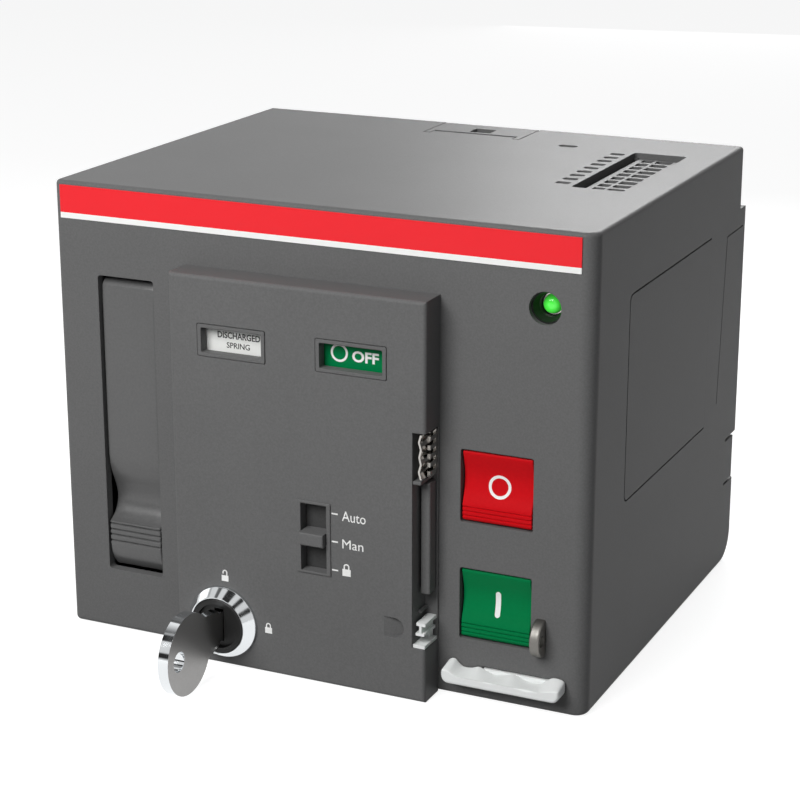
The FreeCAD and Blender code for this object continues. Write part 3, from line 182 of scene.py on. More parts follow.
def make_world():
    """A white backdrop that lights the object only as a dim sky; metal sees the patchy room in front too."""
    world = bpy.data.worlds.new("studio")
    bpy.context.scene.world = world
    tree = new_tree(world)
    # The wall is behind the object, and the patches of the room are large and soft.
    sky = add(tree, "ShaderNodeBackground", {"Color": linear("#f2f5f9"), "Strength": 0.1})
    toward = add(tree, "ShaderNodeTexCoord", {}).outputs["Generated"]
    behind = add(tree, "ShaderNodeSeparateXYZ", {0: toward}).outputs[1]
    wall = add(tree, "ShaderNodeMapRange", {0: behind, 1: -0.25, 2: 0.2, 3: 0.0, 4: 1.0})
    patch = add(tree, "ShaderNodeTexNoise", {"Vector": toward, "Scale": 2.6, "Detail": 0.0})
    room = add(tree, "ShaderNodeMapRange", {0: patch.outputs[0], 1: 0.47, 2: 0.55, 3: 0.03, 4: 0.8})
    ray = add(tree, "ShaderNodeLightPath", {})
    level = add(tree, "ShaderNodeMath", {0: wall.outputs[0], 1: room.outputs[0]}, operation="MAXIMUM")
    level = add(tree, "ShaderNodeMath", {0: ray.outputs["Is Camera Ray"], 1: level.outputs[0]},
                operation="MAXIMUM")
    white = add(tree, "ShaderNodeBackground", {"Color": (1, 1, 1, 1), "Strength": level.outputs[0]})
    mix = add(tree, "ShaderNodeMixShader", {0: sees_backdrop(tree), 1: sky.outputs[0], 2: white.outputs[0]})
    add(tree, "ShaderNodeOutputWorld", {0: mix.outputs[0]})


def make_floor():
    """A wide matt floor that shows almost white and keeps the object's shadow."""
    reach, height = 3000.0, -0.2
    corners = place([(x * reach, y * reach, height) for x, y in ((-1, -1), (1, -1), (1, 1), (-1, 1))])
    data = bpy.data.meshes.new("floor")
    data.from_pydata([tuple(c) for c in corners], [], [(0, 1, 2, 3)])
    floor = new_object("floor", data)
    material = bpy.data.materials.new("matt grey floor paint")
    tree = new_tree(material)
    paint = add(tree, "ShaderNodeBsdfDiffuse", {"Color": linear("#9c9c9c")})
    glow = add(tree, "ShaderNodeEmission", {"Color": (1, 1, 1, 1), "Strength": 0.88})
    both = add(tree, "ShaderNodeAddShader", {0: paint.outputs[0], 1: glow.outputs[0]})
    mix = add(tree, "ShaderNodeMixShader", {0: sees_backdrop(tree), 1: paint.outputs[0], 2: both.outputs[0]})
    add(tree, "ShaderNodeOutputMaterial", {0: mix.outputs[0]})
    data.materials.append(material)


make_camera()
make_world()
make_floor()
softbox("rim lamp", (-20, 300, 330), (50, -90, 115), (220, 220), 1.5)
softbox("front lamp", (-110, -600, 470), (0, -110, 60), (360, 360), 4.3)
softbox("side fill", (900, 60, 420), (70, -50, 70), (400, 400), 0.3)
softbox("left fill", (-900, 60, 420), (-70, -50, 70), (400, 400), 0.45)
softbox("back fill", (-200, 1000, 160), (0, 0, 60), (400, 400), 0.25)
bpy.context.scene.view_settings.view_transform = "Standard"


# ---------------------------------------------------------------- materials
def principled(name, colour, roughness, metallic=0.0, **sockets):
    """A new material with one Principled shader, its node tree and that shader."""
    material = bpy.data.materials.new(name)
    tree = new_tree(material)
    inputs = {"Base Color": linear(colour), "Roughness": roughness, "Metallic": metallic}
    inputs.update({key.replace("_", " "): value for key, value in sockets.items()})
    shader = add(tree, "ShaderNodeBsdfPrincipled", inputs)
    add(tree, "ShaderNodeOutputMaterial", {0: shader.outputs[0]})
    return material, tree, shader


def moulded(name, colours, grain, depth, roughness, edge=0.0, specular=0.5, fleck=0.07):
    """Moulded plastic. Grain and depth are the tool's texture in millimetres, and edge rounds its corners.

    The colour drifts between two tones over some centimetres, as filled plastic does, and the grains are
    lighter or darker by up to fleck.
    """
    material, tree, shader = principled(name, colours[0], roughness, IOR=1.5, Specular_IOR_Level=specular)
    at = add(tree, "ShaderNodeTexCoord", {}).outputs["Object"]
    fine = add(tree, "ShaderNodeTexNoise", {"Vector": at, "Scale": 1 / (grain * MM), "Detail": 3.0})
    drift = add(tree, "ShaderNodeTexNoise", {"Vector": at, "Scale": 35.0, "Detail": 2.0})
    tone = add(tree, "ShaderNodeMix", {0: drift.outputs[0], 6: linear(colours[0]), 7: linear(colours[1])},
               data_type="RGBA")
    grains = add(tree, "ShaderNodeMapRange", {0: fine.outputs[0], 1: 0.3, 2: 0.7, 3: 1 - fleck, 4: 1 + fleck})
    colour = add(tree, "ShaderNodeMix", {0: 1.0, 6: tone.outputs[2], 7: grains.outputs[0]},
                 data_type="RGBA", blend_type="MULTIPLY")
    shine = add(tree, "ShaderNodeMapRange",
                {0: fine.outputs[0], 1: 0.3, 2: 0.7, 3: roughness - 0.05, 4: roughness + 0.05})
    bump = add(tree, "ShaderNodeBump", {"Height": fine.outputs[0], "Distance": depth * MM, "Strength": 0.5})
    if edge:
        corner = add(tree, "ShaderNodeBevel", {"Radius": edge * MM}, samples=4)
        tree.links.new(corner.outputs[0], bump.inputs["Normal"])
    tree.links.new(colour.outputs[2], shader.inputs["Base Color"])
    tree.links.new(shine.outputs[0], shader.inputs["Roughness"])
    tree.links.new(bump.outputs[0], shader.inputs["Normal"])
    return material


def metal(name, colour, roughness, spacing, depth, stretch=(1, 1, 1)):
    """Metal with marks a given spacing apart in millimetres; stretch draws them out along an axis."""
    material, tree, shader = principled(name, colour, roughness, 1.0)
    at = add(tree, "ShaderNodeTexCoord", {}).outputs["Object"]
    drawn = add(tree, "ShaderNodeMapping", {"Vector": at, "Scale": stretch})
    marks = add(tree, "ShaderNodeTexNoise",
                {"Vector": drawn.outputs[0], "Scale": 1 / (spacing * MM), "Detail": 2.0})
    shine = add(tree, "ShaderNodeMapRange",
                {0: marks.outputs[0], 1: 0.3, 2: 0.7, 3: max(0.02, roughness - 0.05), 4: roughness + 0.06})
    bump = add(tree, "ShaderNodeBump", {"Height": marks.outputs[0], "Distance": depth * MM, "Strength": 0.4})
    tree.links.new(shine.outputs[0], shader.inputs["Roughness"])
    tree.links.new(bump.outputs[0], shader.inputs["Normal"])
    return material


def printed_film():
    """Polyester film printed on its back: a red band with a white line under it, and a satin face."""
    red, white, white_line = "#f0222c", "#f6f6f4", 1.4
    material, tree, shader = principled("printed polyester film", red, 0.3, IOR=1.5, Specular_IOR_Level=0.3)
    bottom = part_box("header_label")[0][2]
    at = add(tree, "ShaderNodeTexCoord", {}).outputs["Object"]
    height = add(tree, "ShaderNodeSeparateXYZ", {0: at}).outputs[2]
    band = add(tree, "ShaderNodeMath", {0: height, 1: bottom + white_line * MM}, operation="GREATER_THAN")
    ink = add(tree, "ShaderNodeMix", {0: band.outputs[0], 6: linear(white), 7: linear(red)},
              data_type="RGBA")
    peel = add(tree, "ShaderNodeTexNoise", {"Vector": at, "Scale": 1 / (2.5 * MM), "Detail": 1.0})
    bump = add(tree, "ShaderNodeBump", {"Height": peel.outputs[0], "Distance": 0.03 * MM, "Strength": 0.25})
    tree.links.new(ink.outputs[2], shader.inputs["Base Color"])
    tree.links.new(bump.outputs[0], shader.inputs["Normal"])
    return material


def lit_lens():
    """Green polycarbonate lamp lens with its lamp on: brightest in the middle of the dome."""
    material, tree, shader = principled("lit green polycarbonate", "#3fd83a", 0.12, IOR=1.58)
    low, high = (np.array(corner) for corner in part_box("lamp_lens"))
    crown = (low + high) / 2
    crown[1] = low[1]
    at = add(tree, "ShaderNodeTexCoord", {}).outputs["Object"]
    away = add(tree, "ShaderNodeVectorMath", {0: at, 1: tuple(crown)}, operation="DISTANCE")
    bright, dim, reach = 0.8, 0.3, 2.2 * MM
    glow = add(tree, "ShaderNodeMapRange", {0: away.outputs["Value"], 1: 0.0, 2: reach, 3: bright, 4: dim})
    shader.inputs["Emission Color"].default_value = linear("#4fe04a")
    tree.links.new(glow.outputs[0], shader.inputs["Emission Strength"])
    return material


# Spark-eroded tools leave the case parts a fine grain and a dull face. The real grain is under a tenth of
# a millimetre, too fine to show, and is drawn at about half a millimetre.
CASE = moulded("spark-eroded grey ABS", ("#656565", "#6a6a6a"), 0.45, 0.05, 0.45, edge=0.3, specular=0.06)
RAISED = moulded("spark-eroded grey ABS cover", ("#666666", "#6b6b6b"), 0.45, 0.05, 0.45, edge=0.3,
                 specular=0.06)
# A smooth, matt dark grey sheet behind the slot, darker than the cover: painted shade for the shade in the
# slot.
SLOT_PAINTED_SHADE = moulded("painted shade in the slot", ("#444444", "#484848"), 0.6, 0.01, 0.5, specular=0.06)
# The lever's tool is smoother, so its dip and ribs take a soft sheen.
NYLON = moulded("satin grey nylon", ("#575757", "#5c5c5c"), 0.6, 0.02, 0.33, edge=0.15, specular=0.45)
# Inner nylon parts are near black, with a low shine.
BLACK = moulded("black nylon", ("#161616", "#1d1d1d"), 0.5, 0.02, 0.42, specular=0.3)
# The buttons' tools are lapped, not polished, so their faces take a soft sheen with almost no grain.
RED = moulded("satin red ABS", ("#c80f17", "#d0141c"), 0.7, 0.004, 0.36, specular=0.06, fleck=0.03)
GREEN = moulded("satin green ABS", ("#017440", "#037b46"), 0.7, 0.004, 0.36, specular=0.06, fleck=0.03)
PALE = moulded("satin light grey ABS", ("#eceeed", "#f0f2f1"), 0.6, 0.003, 0.36, specular=0.3, fleck=0.01)
# Flag inks and pad prints lie flat and dry: an even colour with no grain to see.
FLAG_WHITE = moulded("white flag ink", ("#e4e5e2", "#ecedea"), 0.9, 0.004, 0.5, fleck=0.01)
FLAG_RED = moulded("red flag ink", ("#c8151c", "#d01a21"), 0.9, 0.004, 0.5)
INK_WHITE = moulded("white pad print", ("#f0f0ee", "#f6f6f4"), 0.6, 0.004, 0.5, fleck=0.01)
INK_DARK = moulded("black pad print", ("#262626", "#303030"), 0.6, 0.004, 0.5)
# Solder mask flows over the tracks, so the board has a soft gloss; the relays have smooth cases.
BOARD = moulded("green solder mask", ("#145233", "#1b5f3c"), 1.4, 0.01, 0.32)
RELAY = moulded("blue relay case", ("#25406e", "#2b4878"), 1.0, 0.01, 0.35)
# Chrome on the lock's ring and the key's rim mirrors the room; plain nickel is warmer and a little hazy.
CHROME = metal("polished chrome plate", "#dfe2e4", 0.08, 3.0, 0.002)
NICKEL = metal("bright nickel plate", "#b4b1ad", 0.2, 0.5, 0.01)
# The key is tumbled after stamping, so its faces are duller than its rim.
KEY_STEEL = metal("tumbled nickel-plated steel", "#949392", 0.34, 0.5, 0.002)
# Phosphated steel is grey with a dull, crystalline face.
PHOSPHATED = metal("grey phosphated steel", "#7c7a76", 0.5, 0.5, 0.003)
# Zinc plate shows the rolling marks of the sheet under it, drawn out along Y.
ZINC = metal("zinc-plated sheet steel", "#a9adb2", 0.34, 0.8, 0.01, (1, 0.15, 1))
# Shafts and gears are cut bright, oiled wire is darker, and pressed bronze powder has fine open pores.
STEEL = metal("machined steel", "#8d9094", 0.3, 0.4, 0.01)
WIRE = metal("oiled spring wire", "#5f6165", 0.3, 0.6, 0.01)
BRONZE = metal("sintered bronze", "#a9793f", 0.42, 0.3, 0.02)
FILM = printed_film()
LENS_GREEN = lit_lens()

# The CAD pieces that keep their shape. The new pieces further down bring their own material.
FINISHES = {
    CASE: ["housing_shell", "rear_frame", "side_cover", "top_latch"],
    RAISED: ["front_cover", "shutter_bar", "selector_bezel", "mode_slider"],
    FILM: ["header_label"],
    PALE: ["position_clip"],
    FLAG_WHITE: ["spring_flag"],
    GREEN: ["position_flag"],
    BLACK: ["indicator_plate", "selector_retainer", "lock_barrel", "lock_plug", "tab_guide", "lamp_holder",
            "terminal_block", "limit_switches", "operating_fork"],
    NICKEL: ["lock_nut", "contact_comb", "contact_spring"],
    PHOSPHATED: ["seal_lug"],
    ZINC: ["lock_cam", "pawl_pin", "button_bracket", "mechanism_plate_left", "mechanism_plate_right",
           "plate_spacers", "spring_carriage", "spring_anchor_bar", "pivot_pins", "guide_rods", "board_posts",
           "screws", "motor"],
    STEEL: ["drive_pawl", "holding_pawl", "charging_shaft", "ratchet_wheel", "main_gear", "rack_pinion",
            "idler_gear", "motor_shaft", "carriage_rack"],
    BRONZE: ["shaft_bushes"],
    BOARD: ["control_board"],
    RELAY: ["board_components"],
}
for finish, names in FINISHES.items():
    for name in names:
        nodes[name].data.materials.clear()
        nodes[name].data.materials.append(finish)


# ---------------------------------------------------------------- how new pieces are made
def outward(points, faces):
    """Faces of a closed shell turned outwards: its cones from the origin add up to a positive volume."""
    corners = np.array([(f[0], f[k], f[k + 1]) for f in faces for k in range(1, len(f) - 1)])
    a, b, c = points[corners].transpose(1, 0, 2)
    volume = np.einsum("ij,ij->i", a, np.cross(b, c)).sum()
    return [f[::-1] for f in faces] if volume < 0 else faces


def piece(name, shells, material, body, replaced=(), smooth=30.0, rim=0.0, polished=None):
    """One object of closed shells, each (points in drawing millimetres, faces), that rides on a body.

    Rim rounds its edges; polished is a second material for its rims and every face not square to X.
    """
    points, faces = [], []
    for spots, sides in shells:
        start = sum(len(p) for p in points)
        faces += [[int(i) + start for i in f] for f in outward(spots, sides)]
        points.append(spots)
    data = bpy.data.meshes.new(name)
    data.from_pydata(place(np.concatenate(points)).tolist(), [], faces)
    data.materials.append(material)
    if polished:
        data.materials.append(polished)
        normals = np.empty(len(data.polygons) * 3)
        data.polygons.foreach_get("normal", normals)
        data.polygons.foreach_set("material_index", (np.abs(normals.reshape(-1, 3)[:, 0]) < 0.7).astype(int))
    made = new_object(name, data)
    data.polygons.foreach_set("use_smooth", np.ones(len(data.polygons), bool))
    data.set_sharp_from_angle(angle=math.radians(smooth))
    if rim:
        edge = made.modifiers.new("rounded rim", "BEVEL")
        edge.width, edge.segments = rim * MM, 3
        edge.limit_method, edge.angle_limit = "ANGLE", math.radians(40)
        edge.material = 1 if polished else -1
    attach(made, body)
    if replaced:
        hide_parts(*replaced)
    return made


def grid_faces(rows, columns, wrap_rows, wrap_columns):
    """Quads of a grid of points, row after row; either way can be closed on itself."""
    r = np.arange(rows if wrap_rows else rows - 1)[:, None]
    c = np.arange(columns if wrap_columns else columns - 1)[None, :]
    r2, c2 = (r + 1) % rows, (c + 1) % columns
    quads = np.stack([r * columns + c, r2 * columns + c, r2 * columns + c2, r * columns + c2], -1)
    return quads.reshape(-1, 4).tolist()


def end_caps(count, total):
    """Faces that close the first and the last ring of points of a tube, count points each."""
    return [list(range(count))[::-1], list(range(total - count, total))]


def area(outline):
    """Signed area of a closed (n, 2) outline: half the sum of its edges' cross products."""
    ahead = np.roll(outline, -1, 0)
    return 0.5 * np.sum(outline[:, 0] * ahead[:, 1] - outline[:, 1] * ahead[:, 0])


def inset(outline, amount):
    """A closed (n, 2) outline moved inwards: each point goes along the mean of its edges' normals."""
    back = outline - np.roll(outline, 1, 0)
    ahead = np.roll(outline, -1, 0) - outline
    back /= np.linalg.norm(back, axis=1)[:, None]
    ahead /= np.linalg.norm(ahead, axis=1)[:, None]
    run = back + ahead
    run /= np.linalg.norm(run, axis=1)[:, None]
    return outline + amount * np.sign(area(outline)) * np.stack([-run[:, 1], run[:, 0]], 1)


def slab(outline, axis, span, rim):
    """An outline carried along an axis from span[0] to span[1], with rims rounded to a radius.

    Ring k lies rim * (1 - sin t) inside the end plane and the outline there is rim * (1 - cos t) smaller,
    for t from 90 to 0 degrees, so that the wall turns into each end over a quarter circle.
    """
    outline = np.asarray(outline, float)
    turns = np.radians(np.linspace(90, 0, 6))
    ends = [(span[0] + rim * (1 - math.sin(t)), rim * (1 - math.cos(t))) for t in turns]
    ends += [(span[0] + rim + k / 5 * (span[1] - span[0] - 2 * rim), 0.0) for k in range(1, 5)]
    ends += [(span[1] - rim * (1 - math.sin(t)), rim * (1 - math.cos(t))) for t in turns[::-1]]
    count = len(outline)
    rings = [np.insert(inset(outline, shrink), "xyz".index(axis), along, axis=1) for along, shrink in ends]
    faces = grid_faces(len(rings), count, False, True) + end_caps(count, len(rings) * count)
    return np.concatenate(rings), faces


def plate(loops, axis, span):
    """A flat plate across an axis: the first loop is its outline and the others are its holes.

    The outline runs one way and the holes the other. Both faces are the same triangles, and a wall of
    quads joins them along each loop.
    """
    loops = [np.asarray(loop, float) for loop in loops]
    loops = [loop if (area(loop) > 0) == (k == 0) else loop[::-1] for k, loop in enumerate(loops)]
    flat = np.concatenate(loops)
    total = len(flat)
    caps = tessellate_polygon([[Vector((u, v, 0.0)) for u, v in loop] for loop in loops])
    caps = [tri if area(flat[list(tri)]) > 0 else tri[::-1] for tri in caps]
    faces = [[i + total for i in tri] for tri in caps] + [list(tri[::-1]) for tri in caps]
    start = 0
    for loop in loops:
        i = np.arange(len(loop))
        j = np.roll(i, -1)
        faces += (np.stack([i, j, j + total, i + total], 1) + start).tolist()
        start += len(loop)
    ends = [np.insert(flat, "xyz".index(axis), along, axis=1) for along in span]
    return np.concatenate(ends), faces


def turned(profile, middle, steps=96):
    """A closed profile of (radius, y) points turned about a line along Y through a middle (x, z): a ring."""
    profile = np.asarray(profile, float)
    angle = np.linspace(0, 2 * np.pi, steps, endpoint=False)
    x = middle[0] + profile[:, :1] * np.cos(angle)
    z = middle[1] + profile[:, :1] * np.sin(angle)
    y = np.broadcast_to(profile[:, 1:], x.shape)
    return np.stack([x, y, z], -1).reshape(-1, 3), grid_faces(len(profile), steps, True, True)


def smooth_line(points, spacing):
    """A Catmull-Rom curve through 2D points, sampled about every spacing millimetres."""
    points = np.asarray(points, float)
    p = np.concatenate([2 * points[:1] - points[1:2], points, 2 * points[-1:] - points[-2:-1]])
    out = []
    for a, b, c, d in zip(p, p[1:], p[2:], p[3:]):
        n = max(1, int(round(np.linalg.norm(c - b) / spacing)))
        t = (np.arange(n) / n)[:, None]
        out.append(0.5 * (2 * b + (c - a) * t + (2 * a - 5 * b + 4 * c - d) * t ** 2
                          + (3 * b - a - 3 * c + d) * t ** 3))
    return np.concatenate(out + [points[-1:]])


def corner(centre, radius, first, last, steps=6):
    """Points of an arc in degrees about a centre."""
    t = np.radians(np.linspace(first, last, steps))
    return np.stack([centre[0] + radius * np.cos(t), centre[1] + radius * np.sin(t)], 1)


def circle(centre, radius, steps=48):
    """Outline of a circle."""
    return corner(centre, radius, 0, 360, steps + 1)[:-1]


def rectangle(u, v, radius=0.0):
    """Outline of a rectangle with corners rounded to a radius."""
    if not radius:
        return np.array([(u[0], v[0]), (u[1], v[0]), (u[1], v[1]), (u[0], v[1])], float)
    spots = [((u[1] - radius, v[1] - radius), 0), ((u[0] + radius, v[1] - radius), 90),
             ((u[0] + radius, v[0] + radius), 180), ((u[1] - radius, v[0] + radius), 270)]
    return np.concatenate([corner(spot, radius, turn, turn + 90) for spot, turn in spots])


def pushed(shell, along, amount):
    """A shell with each point moved along an axis by a function of the point's place."""
    points, faces = shell
    points = points.copy()
    points[:, "xyz".index(along)] += amount(points)
    return points, faces


# ---------------------------------------------------------------- lever
LEVER_X = span_of("charging_lever", "x")
PAWL_PIN = middle_of("pawl_pin", "yz")
PIVOT = (FRONT + 4.6, PAWL_PIN[1])


def rib_line(start, end, centres, width, depth):
    """A line going down a face, as (y, z) points, with a rounded groove at each centre height.

    y grows by depth * cos(pi * u / 2) ** 2 inside a groove, where u runs from -1 to 1 across its width.
    """
    z = np.arange(start[1], end[1], -0.06)
    y = np.interp(z, [end[1], start[1]], [end[0], start[0]])
    for centre in centres:
        u = np.clip((z - centre) / (width / 2), -1, 1)
        y = y + depth * np.cos(np.pi * u / 2) ** 2
    return np.stack([y, z], 1)


def lever_outline():
    """Outline of the lever, (y, z): rounded top, long flat face, finger dip, ribbed grip and hollow back."""
    top = corner(PIVOT, 4.1, 0, 150, 16)
    flat = np.array([[FRONT + 0.9, 86.5], [FRONT + 0.9, 60.0]])
    dip = smooth_line([(0.9, 49.0), (1.05, 45.2), (1.9, 41.8), (3.3, 38.4), (4.1, 35.6), (4.0, 33.4),
                       (3.1, 31.4), (1.5, 29.9), (0.35, 29.2)], 0.4) + [FRONT, 0]
    ribs = rib_line((FRONT + 0.12, 29.1), (FRONT + 0.12, 22.9), (28.4, 26.9, 25.5, 23.9), 0.65, 0.5)
    foot = smooth_line([(0.2, 22.4), (0.55, 20.6), (1.3, 18.8), (2.7, 16.9)], 0.4) + [FRONT, 0]
    back = np.array([(6.4, 16.9), (7.6, 20.0), (8.2, 28.0), (8.4, 38.0), (7.6, 46.0), (6.2, 52.0),
                     (6.2, 80.0)]) + [FRONT, 0]
    return np.concatenate([top, flat, dip, ribs, foot, back])


ARM_X = (-48.6, -44.6)
arm = np.concatenate([corner(PAWL_PIN, 3.5, -90, 90, 20), [(PIVOT[0], 91.8), (PIVOT[0], 84.8)]])
pin_hole = circle(PAWL_PIN, 1.5, 32)
piece("lever_grip", [slab(lever_outline(), "x", LEVER_X, 0.45), plate([arm, pin_hole], "x", ARM_X)],
      NYLON, "lever", ["charging_lever"])

# ---------------------------------------------------------------- push buttons
FLANGE = 0.9                      # the stop flange stands this far past the cap all round
BUTTON_X = span_of("off_button", "x", FLANGE)
OFF_MIDDLE, ON_MIDDLE = middle_of("off_button", "z")[0], middle_of("on_button", "z")[0]
BUTTON_HALF = round(OFF_MIDDLE - span_of("off_button", "z", FLANGE)[0], 2)


def dish(drop):
    """Depth of a button's face at a distance below its top edge: a slow lean and one arch of a sine."""
    t = np.clip((drop - 0.6) / (2 * BUTTON_HALF - 4.4), 0, 1)
    return 0.4 - 0.2 * t + 1.35 * np.sin(np.pi * t) ** 1.2


def button_outline(middle):
    """Outline of a push button, (y, z): crisp top ridge, dished face, three ribs at its lower edge."""
    top, low = middle + BUTTON_HALF, middle - BUTTON_HALF
    ridge = [(1.0, top), (0.55, top - 0.15), (0.4, top - 0.5)]
    drop = np.linspace(0.6, 2 * BUTTON_HALF - 3.8, 40)
    face = np.stack([dish(drop), top - drop], 1)
    ribs = rib_line((0.2, low + 3.7), (0.2, low + 0.9), [low + 1.3 + 1.05 * k for k in range(3)], 0.5, 0.38)
    foot = [(0.25, low + 0.7), (0.5, low + 0.25), (1.0, low)]
    rear = [(8.0, low), (8.0, top)]
    return np.concatenate([ridge, face, ribs, foot, rear]) + [FRONT, 0]


def button(name, middle, finish):
    """The button's cap with its stop flange and round stem."""
    x = (BUTTON_X[0] - FLANGE, BUTTON_X[1] + FLANGE)
    z = (middle - BUTTON_HALF - FLANGE, middle + BUTTON_HALF + FLANGE)
    flange = plate([rectangle(x, z, 0.8)], "y", (FRONT + 2.8, FRONT + 4.8))
    stem = plate([circle((sum(BUTTON_X) / 2, middle), 3.0)], "y", (FRONT + 7.9, FRONT + 24.0))
    piece(name + "_cap", [slab(button_outline(middle), "x", BUTTON_X, 0.3), flange, stem], finish, name,
          [name])


button("off_button", OFF_MIDDLE, RED)
button("on_button", ON_MIDDLE, GREEN)

# ---------------------------------------------------------------- locking tab
TAB_X = span_of("padlock_tab", "x")
BLADE_X = (44.6, 62.0)
BLADE_Z = (6.2, 8.2)
crest = smooth_line([(65.3, 7.4), (65.1, 8.7), (63.9, 9.3), (62.2, 9.25), (60.9, 8.6), (59.6, 7.6),
                     (57.0, 7.1), (54.6, 7.6), (52.4, 8.3), (50.2, 7.8), (47.6, 7.3), (45.6, 7.9),
                     (43.6, 8.6), (41.6, 8.0), (39.8, 7.9), (38.6, 8.6), (37.7, 9.5), (36.7, 9.6),
                     (35.8, 8.9), (35.6, 7.6)], 0.3)
under = np.concatenate([corner((37.4, 6.7), 1.8, 180, 270), corner((63.5, 6.7), 1.8, 270, 360)])
grip = np.clip(np.concatenate([crest, under]), [TAB_X[0], 4.9], [TAB_X[1], 9.65])
holes = [circle((x, FRONT + 9.0), 3.2) for x in (BLADE_X[0] + 4.6, BLADE_X[1] - 4.6)]
blade = plate([rectangle(BLADE_X, (FRONT - 0.4, FRONT + 29.0))] + holes, "z", BLADE_Z)


def levelled(points):
    """Lowers the crest towards a straight front edge: fully at the front, less at the horns, none behind."""
    ahead = np.clip((FRONT - 0.4 - points[:, 1]) / 4.6, 0, 1)
    across = np.clip((np.abs(points[:, 0] - sum(TAB_X) / 2) - 9.5) / 5.0, 0, 1)
    return -np.clip(points[:, 2] - 7.1, 0, None) * ahead * (1 - 0.55 * across)


grip = pushed(slab(grip, "y", (FRONT - 5.2, FRONT - 0.2), 0.6), "z", levelled)
piece("padlock_tab_grip", [grip, blade], PALE, "padlock_tab", ["padlock_tab"], smooth=50.0)

# ---------------------------------------------------------------- key
LOCK = middle_of("lock_bezel", "xz")
BOW = (COVER - 19.0, LOCK[1] - 1.0)
flare = np.array([(7.03, 0.0), (9.25, 0.0), (9.25, -0.55), (9.15, -0.8), (9.0, -0.95), (7.5, -3.35),
                  (7.35, -3.5), (7.2, -3.5), (7.03, -3.3)]) + [0, COVER]
piece("lock_bezel_ring", [turned(flare, LOCK, 128)], CHROME, "housing", ["lock_bezel"])


def key_blade():
    """Outline of the key's blade behind its bow, (y, z): tapered neck and a straight blade cut with bits."""
    y = COVER + 2.0 + 3.2 * np.arange(5)[:, None] + np.array([-1.3, -0.4, 0.4, 1.3])
    z = LOCK[1] + 3.7 - np.array([1.6, 0.8, 2.0, 1.2, 1.8])[:, None] * np.array([0, 1, 1, 0])
    bits = np.stack([y.ravel(), z.ravel()], 1)
    low = [(BOW[0] + 5.0, 4.4), (COVER - 4.4, 6.8), (COVER - 4.4, LOCK[1] - 3.7),
           (COVER + 19.0, LOCK[1] - 3.7), (COVER + 20.0, LOCK[1] - 2.7), (COVER + 20.0, LOCK[1] + 2.7),
           (COVER + 19.0, LOCK[1] + 3.7)]
    high = [(COVER - 4.4, LOCK[1] + 3.7), (COVER - 4.4, 16.0), (BOW[0] + 5.0, 17.2)]
    return np.concatenate([low, bits[::-1], high])


rounds = [circle(BOW, 10.05, 128), circle((BOW[0] - 4.8, BOW[1]), 2.5)]
bow = plate(rounds, "x", (LOCK[0] - 1.35, LOCK[0] + 1.35))
neck = plate([key_blade()], "x", (LOCK[0] - 1.1, LOCK[0] + 1.1))
piece("key_bow", [bow, neck], KEY_STEEL, "key", ["key"], rim=0.25, polished=CHROME)

# ---------------------------------------------------------------- lamp
LAMP = middle_of("lamp_lens", "xz")


def dome(radius, front, back, rise):
    """Closed profile of a lens, (radius, y): an elliptic dome, a straight side and a flat back."""
    t = np.radians(np.linspace(2, 90, 12))
    cap = np.stack([radius * np.sin(t), front + rise * (1 - np.cos(t))], 1)
    return np.concatenate([cap, [(radius, back), (0.02, back)]])


lens = turned(dome(2.05, FRONT + 3.2, FRONT + 10.0, 1.1), LAMP, 64)
piece("lamp_lens_dome", [lens], LENS_GREEN, "housing", ["lamp_lens"])
ring = np.array([(2.12, 5.6), (2.3, 5.3), (2.55, 5.3), (2.72, 5.6), (2.72, 9.6), (2.12, 9.6)]) + [0, FRONT]
piece("lamp_reflector", [turned(ring, LAMP, 64)], NICKEL, "housing")

# ---------------------------------------------------------------- springs
def coil(axis, at, span, radius, wire, turns):
    """A round wire wound about an axis through at, with its first and last coils lying flat.

    The wire's middle goes round at a radius; it climbs with the angle, but not in the first and last
    three quarters of a turn. The wire's circle stands on the radial and axial directions.
    """
    angle = np.linspace(0, 2 * np.pi * turns, 40 * turns)[:, None]
    climb = np.clip((angle / (2 * np.pi) - 0.75) / (turns - 1.5), 0, 1)
    along = span[0] + wire / 2 + climb * (span[1] - span[0] - wire)
    round_wire = np.linspace(0, 2 * np.pi, 12, endpoint=False)
    out = radius + wire / 2 * np.cos(round_wire)
    u, v = at[0] + out * np.cos(angle), at[1] + out * np.sin(angle)
    w = along + wire / 2 * np.sin(round_wire) + 0 * u
    points = np.stack((u, v, w) if axis == "z" else (u, w, v), -1).reshape(-1, 3)
    return points, grid_faces(len(angle), 12, False, True) + end_caps(12, len(points))


def pressed(spring):
    """Gives a spring its own copy of its mesh; the spring keeps its length."""
    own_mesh(spring)


CLOSING_RADIUS, CLOSING_WIRE = 6.0, 1.8
CLOSING_X = span_of("closing_springs", "x", CLOSING_RADIUS + CLOSING_WIRE / 2)
CLOSING_Y = middle_of("closing_springs", "y")[0]
CLOSING_Z = span_of("closing_springs", "z")
closing = [coil("z", (x, CLOSING_Y), CLOSING_Z, CLOSING_RADIUS, CLOSING_WIRE, 8) for x in CLOSING_X]
closing = piece("closing_spring_coils", closing, WIRE, "housing", ["closing_springs"])
pressed(closing)

RETURN_Y = span_of("off_button_spring", "y")
for key, middle in (("off", OFF_MIDDLE), ("on", ON_MIDDLE)):
    name = key + "_button_spring"
    wound = coil("y", (sum(BUTTON_X) / 2, middle), RETURN_Y, 4.4, 0.9, 5)
    spring = piece(name + "_coil", [wound], WIRE, "housing", [name])
    pressed(spring)

# ---------------------------------------------------------------- how prints are made
THICK = 0.035                     # ink and film stand this far proud
SUNK = 0.02                       # and reach this far into the face, so that no gap shows
FLAG_FACE = span_of("position_flag", "y")[0]


def printed(name, shells, material, body):
    """A flat print made of thin plates."""
    piece(name, shells, material, body, smooth=60.0)


